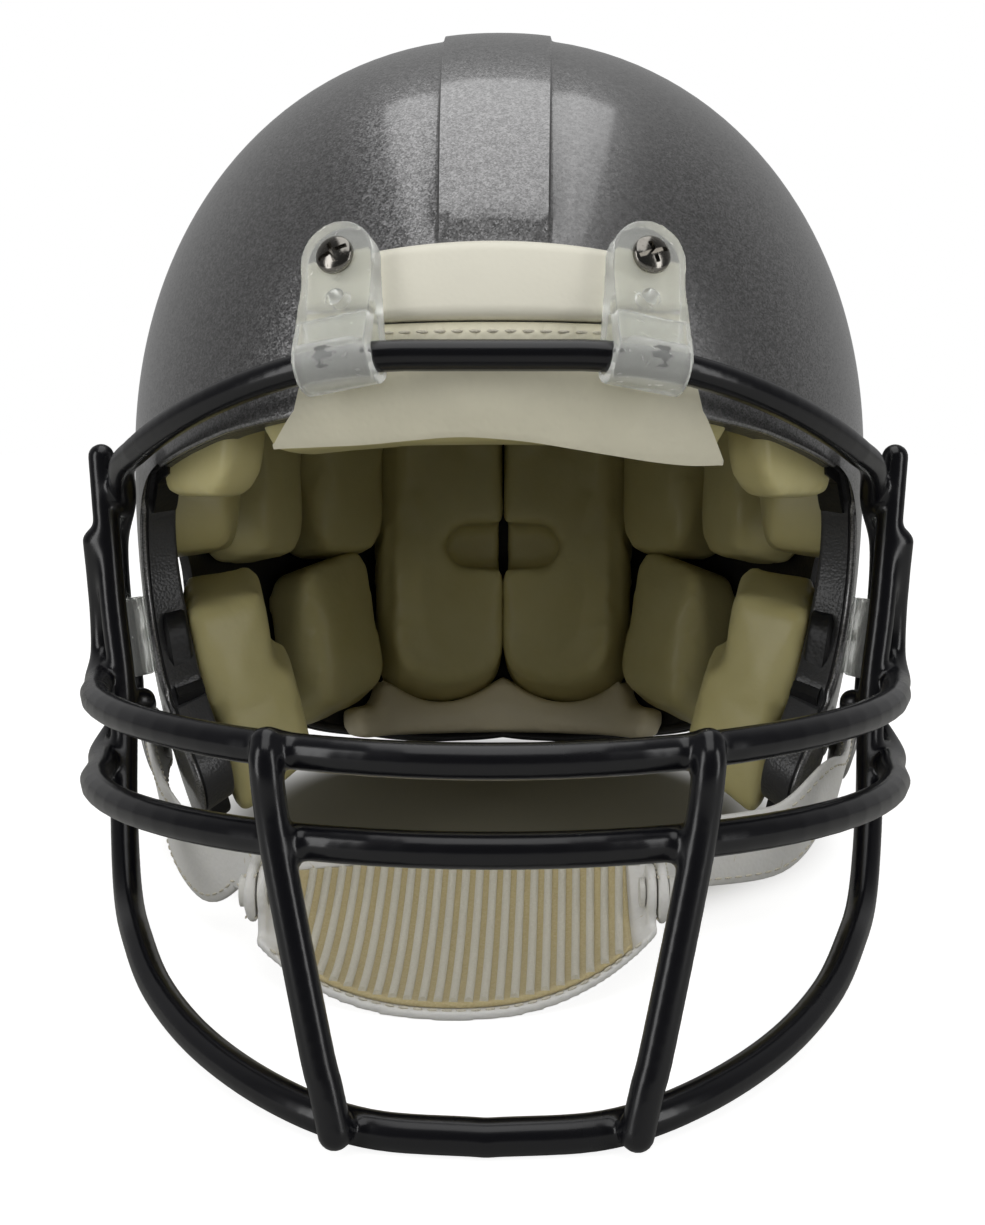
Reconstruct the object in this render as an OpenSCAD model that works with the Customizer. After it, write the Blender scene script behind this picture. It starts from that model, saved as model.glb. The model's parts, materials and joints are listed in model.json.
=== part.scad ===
/* [Shell] */
// Half of the shell's outer width, at its widest ring
shell_half_w = 116; // [108:1:124]
// From the middle of the widest ring forward to the shell's brow
front_l = 150; // [142:1:158]
// From the middle of the widest ring back to the shell's rear
rear_l = 130; // [122:1:138]
// Height of the crown above the widest ring
crown_h = 132; // [126:1:140]
// How far below the widest ring the sides would close if they went on
skirt_h = 200; // [180:1:240]
// How square the shell's sections are, 2 being an ellipse
squareness = 2.1; // [2:0.05:2.3]
// Thickness of the shell's wall
shell_wall = 3.4; // [3:0.1:4.2]
// Width of the raised band where it starts at the brow
ridge_w = 25; // [18:1:32]
// Width of the raised band over the crown
ridge_crown_w = 31; // [18:1:36]
// Height of the raised band
ridge_h = 1.4; // [0.8:0.1:2]
// Diameter of each ear hole
ear_hole_d = 36; // [28:1:40]
// Height of the ear holes' middle below the widest ring
ear_hole_drop = 38; // [32:1:44]

/* [Face opening] */
// Height of the brow edge above the widest ring
brow_z = 7; // [3:1:12]
// Depth of the jaw flaps' lower edge below the widest ring
flap_drop = 106; // [100:1:112]
// Depth of the shell's rear edge below the widest ring
rear_drop = 101.5; // [96:0.5:106]
// Bearing of the opening's side edge, from straight ahead, in degrees
opening_az = 57.5; // [55:0.5:60]
// Bearing of the jaw flap's tip, from straight ahead, in degrees
flap_az = 46.5; // [44:0.5:49]

/* [Face guard] */
// Diameter of the coated wire
wire_d = 7.2; // [6.4:0.1:8]
// Diameter of the two upright wires
upright_d = 6.6; // [5.6:0.1:7.2]
// How far the mouth bars stand ahead of the shell's front
guard_reach = 61; // [52:1:70]
// How far the brow bar's middle stands ahead of the shell's front
brow_bar_reach = 8; // [6:0.5:12]
// Height of the brow bar above the brow edge
brow_bar_rise = 6; // [3:0.5:9]
// How far the brow bar sinks to its corners
brow_bar_sag = 21; // [17:0.5:24]
// Length of the brow bar's straight middle
brow_bar_straight = 40; // [34:1:46]
// How far the mouth bars' sides lie inside the shell's greatest half-width
guard_side_in = 4; // [2:0.5:6]
// Depth of the upper mouth bar below the widest ring
mouth_bar_drop = 72.4; // [68:0.2:76]
// How far the upper mouth bar rises to its sides
mouth_bar_rise = 7; // [5:0.5:9]
// Distance between the two mouth bars
mouth_bar_pitch = 16.9; // [14:0.1:20]
// Depth of the jaw bar below the widest ring
jaw_bar_drop = 143.9; // [138:0.1:150]
// How far the guard's side wires stand ahead of the widest ring's middle
guard_side_y = 80; // [76:1:84]
// Half of the distance between the upright wires at their top
upright_top = 42.5; // [34:0.5:45]
// Half of the distance between the upright wires at their foot
upright_foot = 28.5; // [22:0.5:32]

/* [Clips and screws] */
// Distance of each top clip from the middle
top_clip_x = 33; // [31:0.5:38]
// Width of a top clip
top_clip_w = 18; // [14:0.5:20]
// Length of a side clip along its wire
side_clip_w = 24; // [20:1:28]
// Thickness of the plastic strap that a clip is bent from
clip_t = 2.8; // [2.2:0.1:3.4]
// Clearance of a clip round its wire
clip_gap = 0.3; // [0.2:0.05:0.5]
// Height of the top clips' screws above the brow edge
clip_screw_rise = 27.5; // [26:0.5:31]
// Shank diameter of the clip screws and the snap studs
screw_d = 4.2; // [3.6:0.1:5]
// Head diameter of the clip screws
screw_head_d = 9.2; // [8:0.1:10.5]
// Height of a screw's head
screw_head_h = 2.8; // [2.2:0.1:3.4]
// Flange diameter of the nuts inside the shell
nut_d = 14; // [11:0.5:16]
// Thickness of a nut's flange
nut_t = 1.4; // [1:0.1:2]

/* [Bumpers] */
// Width of the front bumper
bumper_w = 92; // [88:1:100]
// Height of the front bumper's upper edge above the brow edge
bumper_h = 35; // [33:1:38]
// Thickness of the bumpers
bumper_t = 4.2; // [3:0.1:5]
// Width of the rear bumper
rear_bumper_w = 104; // [90:1:120]
// Height of the rear bumper
rear_bumper_h = 30; // [24:1:34]

/* [Liner] */
// Clearance between the liner pads and what carries them
seat_gap = 0.5; // [0.3:0.05:0.8]
// Thickness of the crown, rear and side pads
pad_t = 27; // [22:1:30]
// Thickness of the forehead pad
brow_pad_t = 20; // [16:1:24]
// Thickness of the jaw pads
jaw_pad_t = 32; // [26:1:35]
// Thickness of the nape pad
nape_pad_t = 15; // [11:1:18]
// Width of the crown pad
crown_pad_w = 100; // [90:1:106]
// Length of the crown pad
crown_pad_l = 112; // [100:1:118]
// Width of the forehead pad
brow_pad_w = 132; // [120:1:138]
// Height of the forehead pad
brow_pad_h = 50; // [44:1:54]
// Width of each temple pad
temple_pad_w = 54; // [46:1:58]
// Height of each temple pad
temple_pad_h = 48; // [42:1:52]
// Width of each rear pad
rear_pad_w = 59; // [54:0.5:60]
// Height of each rear pad
rear_pad_h = 96; // [88:1:100]
// Width of each corner pad
corner_pad_w = 46; // [40:1:48]
// Width of each side pad
side_pad_w = 44; // [38:1:48]
// Height of the corner pads
corner_pad_h = 58; // [52:1:60]
// Height of the side pads
side_pad_h = 58; // [50:1:60]
// Width of each lower rear pad
low_pad_w = 48; // [42:1:50]
// Height of each lower rear pad
low_pad_h = 44; // [40:1:46]
// Width and height of each jaw pad
jaw_pad_w = 50; // [44:1:52]
// Width of the nape pad
nape_pad_w = 166; // [150:1:172]
// Height of the nape pad
nape_pad_h = 12; // [10:0.5:13]
// Length of the long slot between the two rear pads
slot_l = 48; // [36:1:56]
// Height of that slot
slot_h = 18; // [12:1:22]
// Depth of the slot's middle below the widest ring
slot_drop = 22; // [16:1:30]

/* [Chin strap] */
// Width of the chin cup
cup_w = 98; // [88:1:108]
// Depth of the chin cup from its front lip to its rear rim
cup_l = 58; // [50:1:66]
// Height of the cup's rear rim
cup_rise = 23; // [18:1:28]
// Distance of the cup's middle behind the face guard's front
cup_back = 91; // [84:1:98]
// How far the cup lies off the middle
cup_x = -9; // [-14:1:0]
// Thickness of the cup's vinyl
cup_t = 2.2; // [1.6:0.1:3]
// Thickness of the cup's ribbed lining
lining_t = 2.6; // [2:0.1:3.4]
// Number of ribs across the lining
rib_count = 23; // [15:1:27]
// Width of the straps
strap_w = 20; // [16:1:23]
// Thickness of the straps
strap_t = 2.6; // [2:0.1:3.2]

/* [Hidden] */
GRADE = 48;
ring_steps = 34;
rib_steps = 14;
round_power = 2 / squareness;
edge_u = 0.66;
edge_lean = 62;
bumper_lift = 3;
plate_gap = 0.25;
nut_gap = 0.8;

// A point of the shell's skin at bearing az and lift s, both in degrees, off outside it
function plan_r(az, off) =
    let (along = (abs(az) < 90 ? front_l : rear_l) + off, side = shell_half_w + off)
    pow(pow(abs(sin(az)) / side, squareness) + pow(abs(cos(az)) / along, squareness), -1 / squareness);
function skin(az, s, off = 0) =
    let (tall = (s > 0 ? crown_h : skirt_h) + off, r = plan_r(az, off) * pow(abs(cos(s)), round_power))
    [r * sin(az), -r * cos(az), sign(s) * tall * pow(abs(sin(s)), round_power)];
// The lift at which the skin has height z
function lift(z, off = 0) =
    sign(z) * asin(pow(abs(z) / ((z > 0 ? crown_h : skirt_h) + off), 1 / round_power));
function skin_at(az, z, off = 0) = skin(az, lift(z, off), off);
// The skin's outward normal, by small steps along it
function skin_n(az, s) =
    let (n = cross(skin(az + 0.5, s) - skin(az - 0.5, s), skin(az, s + 0.5) - skin(az, s - 0.5))) n / norm(n);
function aim(az, s) = [sin(az) * cos(s), -cos(az) * cos(s), sin(s)];
function unit(v) = v / norm(v);
function mix(a, b, t) = a + (b - a) * t;
function clamp01(t) = max(0, min(1, t));
function ease(t) = let (c = clamp01(t)) c * c * (3 - 2 * c);
function turn_z(v, a) = [v.x * cos(a) - v.y * sin(a), v.x * sin(a) + v.y * cos(a), v.z];
function flip(p) = [-p.x, p.y, p.z];

// A smooth curve through the points of a list, at place t from 0 to its last index
function spline_at(p, t) =
    let (n = len(p), i = min(floor(t), n - 2), f = t - i, b = p[i], c = p[i + 1],
         a = i > 0 ? p[i - 1] : 2 * b - c, d = i < n - 2 ? p[i + 2] : 2 * c - b)
    0.5 * (2 * b + (c - a) * f + (2 * a - 5 * b + 4 * c - d) * f * f + (3 * b - a - 3 * c + d) * f * f * f);
function spline(p, steps) =
    [for (k = [0 : (len(p) - 1) * steps]) spline_at(p, k / steps)];

// Lower edge of one side of the shell, from the brow's corner round the jaw flap to the rear
shell_edge = [
    [opening_az - 7.5, brow_z - 15], [opening_az - 2, -0.2 * flap_drop], [opening_az, -0.4 * flap_drop],
    [opening_az - 2.5, -0.6 * flap_drop], [flap_az + 3, -0.77 * flap_drop], [flap_az, -0.89 * flap_drop],
    [flap_az + 2.5, -0.975 * flap_drop], [flap_az + 8.5, -flap_drop], [flap_az + 20, 1 - flap_drop],
    [80, 7 - flap_drop], [95, 14 - flap_drop], [110, 17 - flap_drop], [125, 12 - rear_drop],
    [140, 5 - rear_drop], [152, 1.5 - rear_drop]];

function edge_aim(u) = let (e = spline_at(shell_edge, u * (len(shell_edge) - 1))) aim(e[0], lift(e[1]));
function top_aim(u) = let (a = mix(lift(brow_z), 180 - lift(-rear_drop), u)) [0, -cos(a), sin(a)];
// A point on the rib at place u of the shell's length, v from the midline to the edge
function rib_aim(u, v) =
    let (m = top_aim(u), e = edge_aim(u), lean = edge_lean * sin(180 * min(u / edge_u, 1)),
         g = turn_z(unit(m + e), lean))
    unit((1 - v) * (1 - v) * m + 2 * v * (1 - v) * g + v * v * e);
function rib(u, v, off) = let (d = rib_aim(u, v)) skin(atan2(d.x, -d.y), asin(d.z), off);
// The place v at which a rib is x from the midline
function rib_v(u, x, v = 0.1, tries = 6) =
    tries == 0 ? v : rib_v(u, x, v * x / rib(u, v, 0).x, tries - 1);

// A closed sheet between two grids of points; rows run to the back, columns to the right, seen from over
module slab(under, over) {
    rows = len(under);
    cols = len(under[0]);
    low = function (i, j) i * cols + j;
    top = function (i, j) rows * cols + i * cols + j;
    i1 = rows - 1;
    j1 = cols - 1;
    faces = concat(
        [for (i = [0 : i1 - 1], j = [0 : j1 - 1]) each [
            [top(i, j), top(i + 1, j), top(i + 1, j + 1)], [top(i, j), top(i + 1, j + 1), top(i, j + 1)],
            [low(i, j), low(i + 1, j + 1), low(i + 1, j)], [low(i, j), low(i, j + 1), low(i + 1, j + 1)]]],
        [for (j = [0 : j1 - 1]) each [
            [low(0, j), top(0, j), top(0, j + 1)], [low(0, j), top(0, j + 1), low(0, j + 1)],
            [low(i1, j), top(i1, j + 1), top(i1, j)], [low(i1, j), low(i1, j + 1), top(i1, j + 1)]]],
        [for (i = [0 : i1 - 1]) each [
            [low(i + 1, 0), top(i + 1, 0), top(i, 0)], [low(i + 1, 0), top(i, 0), low(i, 0)],
            [low(i + 1, j1), top(i, j1), top(i + 1, j1)], [low(i + 1, j1), low(i, j1), top(i, j1)]]]);
    polyhedron(points = [for (g = [under, over], row = g, p = row) p], faces = faces);
}

// The shell's grid of half a rib, with the raised band's two edges among its columns
function rib_places(u) =
    let (w = mix(ridge_w, ridge_crown_w, ease(u / 0.4)), a = rib_v(u, w / 2), b = rib_v(u, w / 2 + 1.2))
    concat([0, a], [for (k = [0 : rib_steps]) mix(b, 1, k / rib_steps)]);
// The raised band runs from the front bumper to the rear one, at these places of the shell's length
function top_place(s) = (s - lift(brow_z)) / (180 - lift(-rear_drop) - lift(brow_z));
ridge_from = top_place(lift(brow_z + bumper_h));
ridge_to = top_place(180 - lift(bumper_lift - rear_drop + rear_bumper_h)) - 1 / ring_steps;
function ridge_off(u, k) = k > 1 ? 0 : ridge_h * ease((u - ridge_from) / 0.04) * ease((ridge_to - u) / 0.02);
function shell_grid(off, ridge) = [for (i = [0 : ring_steps])
    let (u = i / ring_steps, places = rib_places(u), n = len(places),
         half = [for (k = [0 : n - 1]) rib(u, places[k], off + ridge * ridge_off(u, k))])
    concat([for (k = [n - 1 : -1 : 1]) flip(half[k])], half)];

module shell_body() {
    slab(shell_grid(-shell_wall, 0), shell_grid(0, 1));
}

// Tubes and bands that follow a path
function slope(p, i) = unit(p[min(i + 1, len(p) - 1)] - p[max(i - 1, 0)]);
function square_to(v, t) = unit(v - (v * t) * t);
function ups(p, first) =
    [for (i = 0, u = square_to(first, slope(p, 0)); i < len(p);
          i = i + 1, u = i < len(p) ? square_to(u, slope(p, i)) : u) u];
function circle_at(c, t, u, r, sides) =
    let (w = cross(t, u)) [for (k = [0 : sides - 1]) c + r * (u * cos(k * 360 / sides) + w * sin(k * 360 / sides))];

// A domed wire along a path, slimmer at the points between the two indices given
dome = [[0.94, 0.34], [0.6, 0.8]];
module wire(path, r, first, slim = [0, -1], sides = 10) {
    n = len(path);
    u = ups(path, first);
    at = function (i, out, size) circle_at(path[i] + out * slope(path, i) * r, slope(path, i), u[i],
        r * size * (i >= slim[0] && i <= slim[1] ? 0.75 : 1), sides);
    rings = concat([for (e = dome) at(0, -e[0], e[1])], [for (i = [0 : n - 1]) at(i, 0, 1)],
        [for (k = [1, 0]) at(n - 1, dome[k][0], dome[k][1])]);
    m = len(rings);
    polyhedron(points = [for (ring = rings, p = ring) p], faces = concat(
        [for (i = [0 : m - 2], k = [0 : sides - 1])
            let (a = i * sides + k, b = i * sides + (k + 1) % sides) each
            [[a, b + sides, b], [a, a + sides, b + sides]]],
        [for (k = [1 : sides - 2]) each [[0, k, k + 1],
            [(m - 1) * sides, (m - 1) * sides + k + 1, (m - 1) * sides + k]]]));
}

// A flat band along a path; across gives the direction of its width at each point
module band(path, across, widths, t) {
    n = len(path);
    face = function (side) [for (i = [0 : n - 1])
        let (d = slope(path, i), a = square_to(across[i], d), up = cross(a, d), c = path[i] + up * side * t / 2)
        [c - a * widths[i] / 2, c, c + a * widths[i] / 2]];
    slab(face(-1), face(1));
}

// A frame whose y is the direction out and whose z lies along the direction given
module stand(p, out, along) {
    a = square_to(along, out);
    b = cross(out, a);
    multmatrix([[b.x, out.x, a.x, p.x], [b.y, out.y, a.y, p.y], [b.z, out.z, a.z, p.z], [0, 0, 0, 1]])
        children();
}
module outward() {
    rotate([-90, 0, 0]) children();
}
module both_sides() {
    children();
    mirror([1, 0, 0]) children();
}

// Places on the shell
function az_at_x(x, z, off, az = 15, tries = 6) =
    tries == 0 ? az : az_at_x(x, z, off, az + (x - skin_at(az, z, off).x) * 0.4, tries - 1);
wire_r = wire_d / 2;
upright_r = upright_d / 2;
clip_screw_z = brow_z + clip_screw_rise;
clip_screw_az = az_at_x(top_clip_x, clip_screw_z, 0);
plate_half = clip_t + plate_gap;
ring_r = wire_r + clip_gap + clip_t;
fit_gap = 0.3;
top_plate_off = bumper_t + 2 * fit_gap + plate_half;
side_clip_az = 76;
side_clip_z = -54;
stud_az = 74;
stud_z = 19 - flap_drop;
rear_stud_az = 116;
rear_stud_z = -66;
rear_screw_az = 164;
rear_screw_z = 16 - rear_drop;
valve_at = [[168, 62], [150, 68]];
valve_r = 3.6;
valve_flange_r = 6;
needle_r = 0.9;
nut_barrel_r = 3.1;
hole_gap = 0.2;

function normal_at(az, z) = skin_n(az, lift(z));
function over_skin(az, z, h) = skin_at(az, z) + normal_at(az, z) * h;

// The guard's wires, right half, front to back
brow_bar_z = brow_z + brow_bar_rise;
brow_bar_y = -(front_l + brow_bar_reach);
brow_half = brow_bar_straight / 2;
weld = 0.4;
touch = wire_d - weld;
guard_front_y = -(front_l + guard_reach);
guard_half_w = shell_half_w - guard_side_in;
vertical_x = guard_half_w - 8;
brow_corner = [guard_half_w - 6.5, -guard_side_y - 4, brow_bar_z - brow_bar_sag];
bow = 1.6;
sag = 1.7;
function brow_point(a) = [mix(brow_half, brow_corner.x, sin(a)), mix(brow_corner.y, brow_bar_y, pow(cos(a), bow)),
    mix(brow_bar_z, brow_corner.z, pow(sin(a), sag))];
function brow_slope(a) = unit(brow_point(a + 1) - brow_point(a - 1));
side_out = normal_at(side_clip_az, side_clip_z);
clip_wire = over_skin(67, side_clip_z, ring_r + fit_gap);
clip_wire_t = square_to([0, 0, -1], side_out);
side_z = -mouth_bar_drop;
clip_wire_end = clip_wire + clip_wire_t * side_clip_w / 2;
bend_r = 8;
bend_to = unit([-0.4, -0.9, 0]);
brow_side = spline([brow_point(60), brow_point(74), brow_corner + [1, 7, -7],
    [clip_wire.x - 1, clip_wire.y - 13, -26], clip_wire - clip_wire_t * side_clip_w / 2, clip_wire,
    clip_wire_end, clip_wire_end + bend_r * (bend_to * (1 - cos(45)) - [0, 0, sin(45)]),
    clip_wire_end + bend_r * (bend_to - [0, 0, 1]), clip_wire_end + 23 * bend_to - [0, 0, bend_r - 1],
    [vertical_x - 3.8, -guard_side_y - 0.5, side_z + 1]], 3);
brow_count = 8;
brow_path = concat([for (i = [0 : brow_count - 1]) brow_point(i * 7.5)], brow_side);

mouth_half_w = guard_half_w - 6;
function mouth_point(a, z, rise) = [mouth_half_w * sin(a),
    -guard_side_y - 4 + (guard_front_y + guard_side_y + 4) * cos(a), z + rise * sin(a) * sin(a)];
upper_mouth_half = concat([for (a = [0 : 8 : 64]) mouth_point(a, side_z, mouth_bar_rise)],
    spline([mouth_point(72, side_z, mouth_bar_rise),
        [vertical_x + touch - 3, -guard_side_y - 17, side_z + mouth_bar_rise - 0.3],
        [vertical_x + touch + 0.6, -guard_side_y - 5, side_z + mouth_bar_rise + 0.6],
        [vertical_x + touch + 1.6, -guard_side_y + 3.5, side_z + mouth_bar_rise + 7],
        [vertical_x + touch + 1.9, -guard_side_y + 4, side_z + mouth_bar_rise + 18],
        [vertical_x + touch + 2, -guard_side_y + 1.4, side_z + mouth_bar_rise + 29],
        [vertical_x + touch + 2.4, -guard_side_y - 0.6, side_z + mouth_bar_rise + 39]], 3));
low_z = side_z - mouth_bar_pitch;
lower_mouth_half = concat([for (a = [0 : 8 : 64]) mouth_point(a, low_z, 2)],
    spline([mouth_point(71, low_z, 2), [vertical_x + touch - 6, -guard_side_y - 24, low_z + 2.4],
        [vertical_x + touch - 2, -guard_side_y - 10, low_z + 4],
        [vertical_x + touch - 2, -guard_side_y - 1, low_z + 7.5],
        [vertical_x + 2, -guard_side_y + 2.4, low_z + 12.5]], 3));
foot = -jaw_bar_drop;
jaw_half = spline([[0, guard_front_y, foot], [23, guard_front_y + 3, foot + 0.5],
    [42, guard_front_y + 13.5, foot + 3], [61, guard_front_y + 33, foot + 6.6],
    [76, guard_front_y + 54, foot + 12], [86, guard_front_y + 73, foot + 19],
    [vertical_x - 10, -guard_side_y - 38, foot + 26.5], [vertical_x - 4, -guard_side_y - 20, side_z - 25],
    [vertical_x, -guard_side_y - 6, side_z + 2], [vertical_x + 4, -guard_side_y - 2.5, side_z + 30],
    [vertical_x + 7.6, -guard_side_y - 0.6, brow_corner.z + 7.6]], 3);
function whole(half) = concat([for (i = [len(half) - 1 : -1 : 1]) flip(half[i])], half);
// The upright wires lie before the mouth bars and the jaw bar
function bar_y(x) = -guard_side_y - 4 + (guard_front_y + guard_side_y + 4) * sqrt(1 - pow(x / mouth_half_w, 2));
before = wire_r + upright_r - weld;
upright_path = spline([[upright_top + 0.3, bar_y(upright_top) - before + 2, side_z + 2.6],
    [upright_top, bar_y(upright_top) - before, side_z - 2], [upright_top - 2, bar_y(upright_top) - before, low_z],
    [mix(upright_foot, upright_top, 0.34), guard_front_y - 0.6, (low_z + foot) / 2 - 9],
    [upright_foot + 1.4, guard_front_y - 1.6, foot + 10], [upright_foot, guard_front_y - 2, foot + 2.6]], 3);

// Seated frame: the helmet rests on the jaw bar's foot and the shell's rear edge
function rest_tilt_on(p) = let (d = [p.y - guard_front_y, p.z + jaw_bar_drop])
    atan2(d.y, d.x) + asin(wire_r / norm(d));
rest_tilt = min([for (v = rib_places(1)) rest_tilt_on(rib(1, v, 0))]);
rest_z = wire_r + jaw_bar_drop * cos(rest_tilt) + guard_front_y * sin(rest_tilt);
front_most = upright_path[len(upright_path) - 1].y * cos(rest_tilt)
    + upright_path[len(upright_path) - 1].z * sin(rest_tilt) - upright_r;
reach_power = squareness / (squareness - 1);
rear_most = pow(pow((rear_l + ridge_h) * cos(rest_tilt), reach_power)
    + pow((crown_h + ridge_h) * sin(rest_tilt), reach_power), 1 / reach_power);
rest_y = -(front_most + rear_most) / 2;
function seated(p) = [p.x, p.y * cos(rest_tilt) + p.z * sin(rest_tilt) + rest_y,
    -p.y * sin(rest_tilt) + p.z * cos(rest_tilt) + rest_z];
function seated_n(p) = seated(p) - seated([0, 0, 0]);
module seat() {
    translate([0, rest_y, rest_z]) rotate([-rest_tilt, 0, 0]) children();
}

// Shell and what is fixed to it
module clip_screw_frame() {
    stand(over_skin(clip_screw_az, clip_screw_z, 0), normal_at(clip_screw_az, clip_screw_z), [1, 0, 0]) children();
}
module side_screw_frame() {
    stand(over_skin(side_clip_az, side_clip_z, 0), normal_at(side_clip_az, side_clip_z), [0, 0, -1]) children();
}
module skin_frame(az, z) {
    stand(skin_at(az, z), normal_at(az, z), [0, 0, 1]) children();
}
module through(r, from, to) {
    translate([0, from, 0]) outward() cylinder(r = r, h = to - from, $fn = GRADE);
}
module shell() {
    color("#55565a") seat() difference() {
        shell_body();
        both_sides() {
            translate([shell_half_w / 2, 4, -ear_hole_drop]) rotate([0, 90, 0])
                cylinder(d = ear_hole_d, h = shell_half_w, $fn = GRADE);
            clip_screw_frame() through(nut_barrel_r + hole_gap, -12, 12);
            side_screw_frame() through(nut_barrel_r + hole_gap, -12, 12);
            skin_frame(stud_az, stud_z) through(nut_barrel_r + hole_gap, -12, 12);
            skin_frame(rear_stud_az, rear_stud_z) through(nut_barrel_r + hole_gap, -12, 12);
            skin_frame(rear_screw_az, rear_screw_z) through(nut_barrel_r + hole_gap, -12, 12);
        }
        for (v = valve_at) skin_frame(v[0], v[1]) through(valve_r + hole_gap, -12, 12);
    }
}
// A sheet that lies on the shell between two bearings, its lower edge at z0 and its upper edge at z1
module skin_sheet(half_az, middle_az, z0, z1, off, t, cols, rows, arch = 0, round_end = 0.14) {
    at = function (i, j, o) let (q = i / rows, p = 2 * j / cols - 1,
        trim = round_end * pow(abs(2 * q - 1), 4), a = middle_az + half_az * p * (1 - trim))
        skin_at(a, mix(z0, z1 - arch * p * p, q), o);
    slab([for (i = [0 : rows]) [for (j = [0 : cols]) at(i, j, off)]],
        [for (i = [0 : rows]) [for (j = [0 : cols]) at(i, j, off + t * (i == 0 || i == rows ? 0.7 : 1))]]);
}
function half_az_of(w) = asin(w / 2 / (front_l - 4));

module front_bumper() {
    color("#ece6d2") seat() difference() {
        skin_sheet(half_az_of(bumper_w), 0, brow_z - 2, brow_z + bumper_h, fit_gap, bumper_t, 14, 6, 4);
        both_sides() clip_screw_frame() through(screw_d / 2 + hole_gap, -4, 12);
    }
}
module rear_bumper() {
    color("#ece6d2") seat() difference() {
        skin_sheet(asin(rear_bumper_w / 2 / rear_l), 180, bumper_lift - rear_drop,
            bumper_lift - rear_drop + rear_bumper_h, fit_gap, bumper_t, 14, 4, 5);
        both_sides() skin_frame(rear_screw_az, rear_screw_z) through(screw_d / 2 + hole_gap, -4, 12);
    }
}

// Fasteners
module pan_screw(length, head_d) {
    difference() {
        union() {
            intersection() {
                cylinder(d = head_d, h = screw_head_h, $fn = GRADE);
                translate([0, 0, screw_head_h - head_d]) sphere(r = head_d, $fn = GRADE);
            }
            translate([0, 0, -length]) cylinder(d = screw_d, h = length + 0.5, $fn = GRADE);
        }
        for (a = [0, 90]) rotate([0, 0, a]) translate([-head_d * 0.32, -0.5, screw_head_h - 1.3])
            cube([head_d * 0.64, 1, 3]);
    }
}
module tee_nut(barrel) {
    difference() {
        union() {
            cylinder(d = nut_d, h = nut_t, $fn = GRADE);
            translate([0, 0, nut_t - 0.1]) cylinder(r = nut_barrel_r, h = barrel + 0.1, $fn = GRADE);
        }
        translate([0, 0, -1]) cylinder(d = screw_d + 0.1, h = barrel + nut_t + 2, $fn = GRADE);
    }
}
nut_seat = -shell_wall - nut_gap - nut_t;
module nut_here() {
    translate([0, nut_seat, 0]) outward() tee_nut(shell_wall - 0.4);
}
screw_seat = top_plate_off + plate_half - 0.6;
side_plate_off = fit_gap + plate_half;
side_screw_seat = side_plate_off + plate_half - 0.6;
module top_clip_screws() {
    color("#b9b6ae") seat() both_sides() clip_screw_frame() translate([0, screw_seat, 0]) outward()
        pan_screw(screw_seat - nut_seat, screw_head_d);
}
module side_clip_screws() {
    color("#b9b6ae") seat() both_sides() side_screw_frame() translate([0, side_screw_seat, 0]) outward()
        pan_screw(side_screw_seat - nut_seat, screw_head_d);
}
module rear_bumper_screws() {
    color("#b9b6ae") seat() both_sides() skin_frame(rear_screw_az, rear_screw_z)
        translate([0, bumper_t + 2 * fit_gap, 0]) outward()
            pan_screw(bumper_t + 2 * fit_gap - nut_seat, screw_head_d);
}
module clip_nuts() {
    color("#9a9a98") seat() both_sides() {
        clip_screw_frame() nut_here();
        side_screw_frame() nut_here();
        skin_frame(rear_screw_az, rear_screw_z) nut_here();
    }
}

// Clips bent round the guard's wires
function local(p, s, out, along) =
    let (a = square_to(along, out), b = cross(out, a), d = p - s) [d * b, d * out];
// Where the line from p touches the circle round c, on the side given by turn
function touches(p, c, r, turn) =
    let (d = p - c, a = atan2(d.y, d.x) + turn * acos(r / norm(d))) c + r * [cos(a), sin(a)];
// c is the wire's middle before the plate; the wire's own bore is cut by the clip's caller
module loop_clip(c, w, second = 0) {
    flat = screw_head_d / 2 + 1.5;
    tip = w / 2 - 0.01;
    across = unit([-c.y, c.x]);
    difference() {
        union() {
            translate([c.x, c.y, -w / 2]) cylinder(r = ring_r, h = w, $fn = GRADE);
            translate([0, 0, -w / 2]) linear_extrude(w)
                polygon([touches([-flat, plate_half], c, ring_r - 0.08, 1), [-flat, plate_half], [tip, plate_half],
                    [tip, -plate_half], [-flat, -plate_half], touches([-flat, -plate_half], c, ring_r - 0.08, -1)]);
        }
        translate([0, 0, -w]) linear_extrude(2 * w)
            polygon([c + across * 2.6, c * 0.6 + across * 0.4, c * 0.6 - across * 0.4, c - across * 2.6]);
        through(screw_d / 2 + hole_gap, -20, 20);
        through(screw_head_d / 2 + 0.4, plate_half - 0.6, 20);
        if (second > 0) translate([-second, 0, 0]) through(2.3, -20, 20);
        difference() {
            translate([0, -20, -w]) cube([w, 40, 2 * w]);
            through(w / 2, -21, 21);
        }
    }
}
clip_seat = over_skin(clip_screw_az, clip_screw_z, top_plate_off);
top_wire_a = asin((clip_seat.x - brow_half) / (brow_corner.x - brow_half));
clip_out = normal_at(clip_screw_az, clip_screw_z);
side_seat = over_skin(side_clip_az, side_clip_z, side_plate_off);
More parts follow.
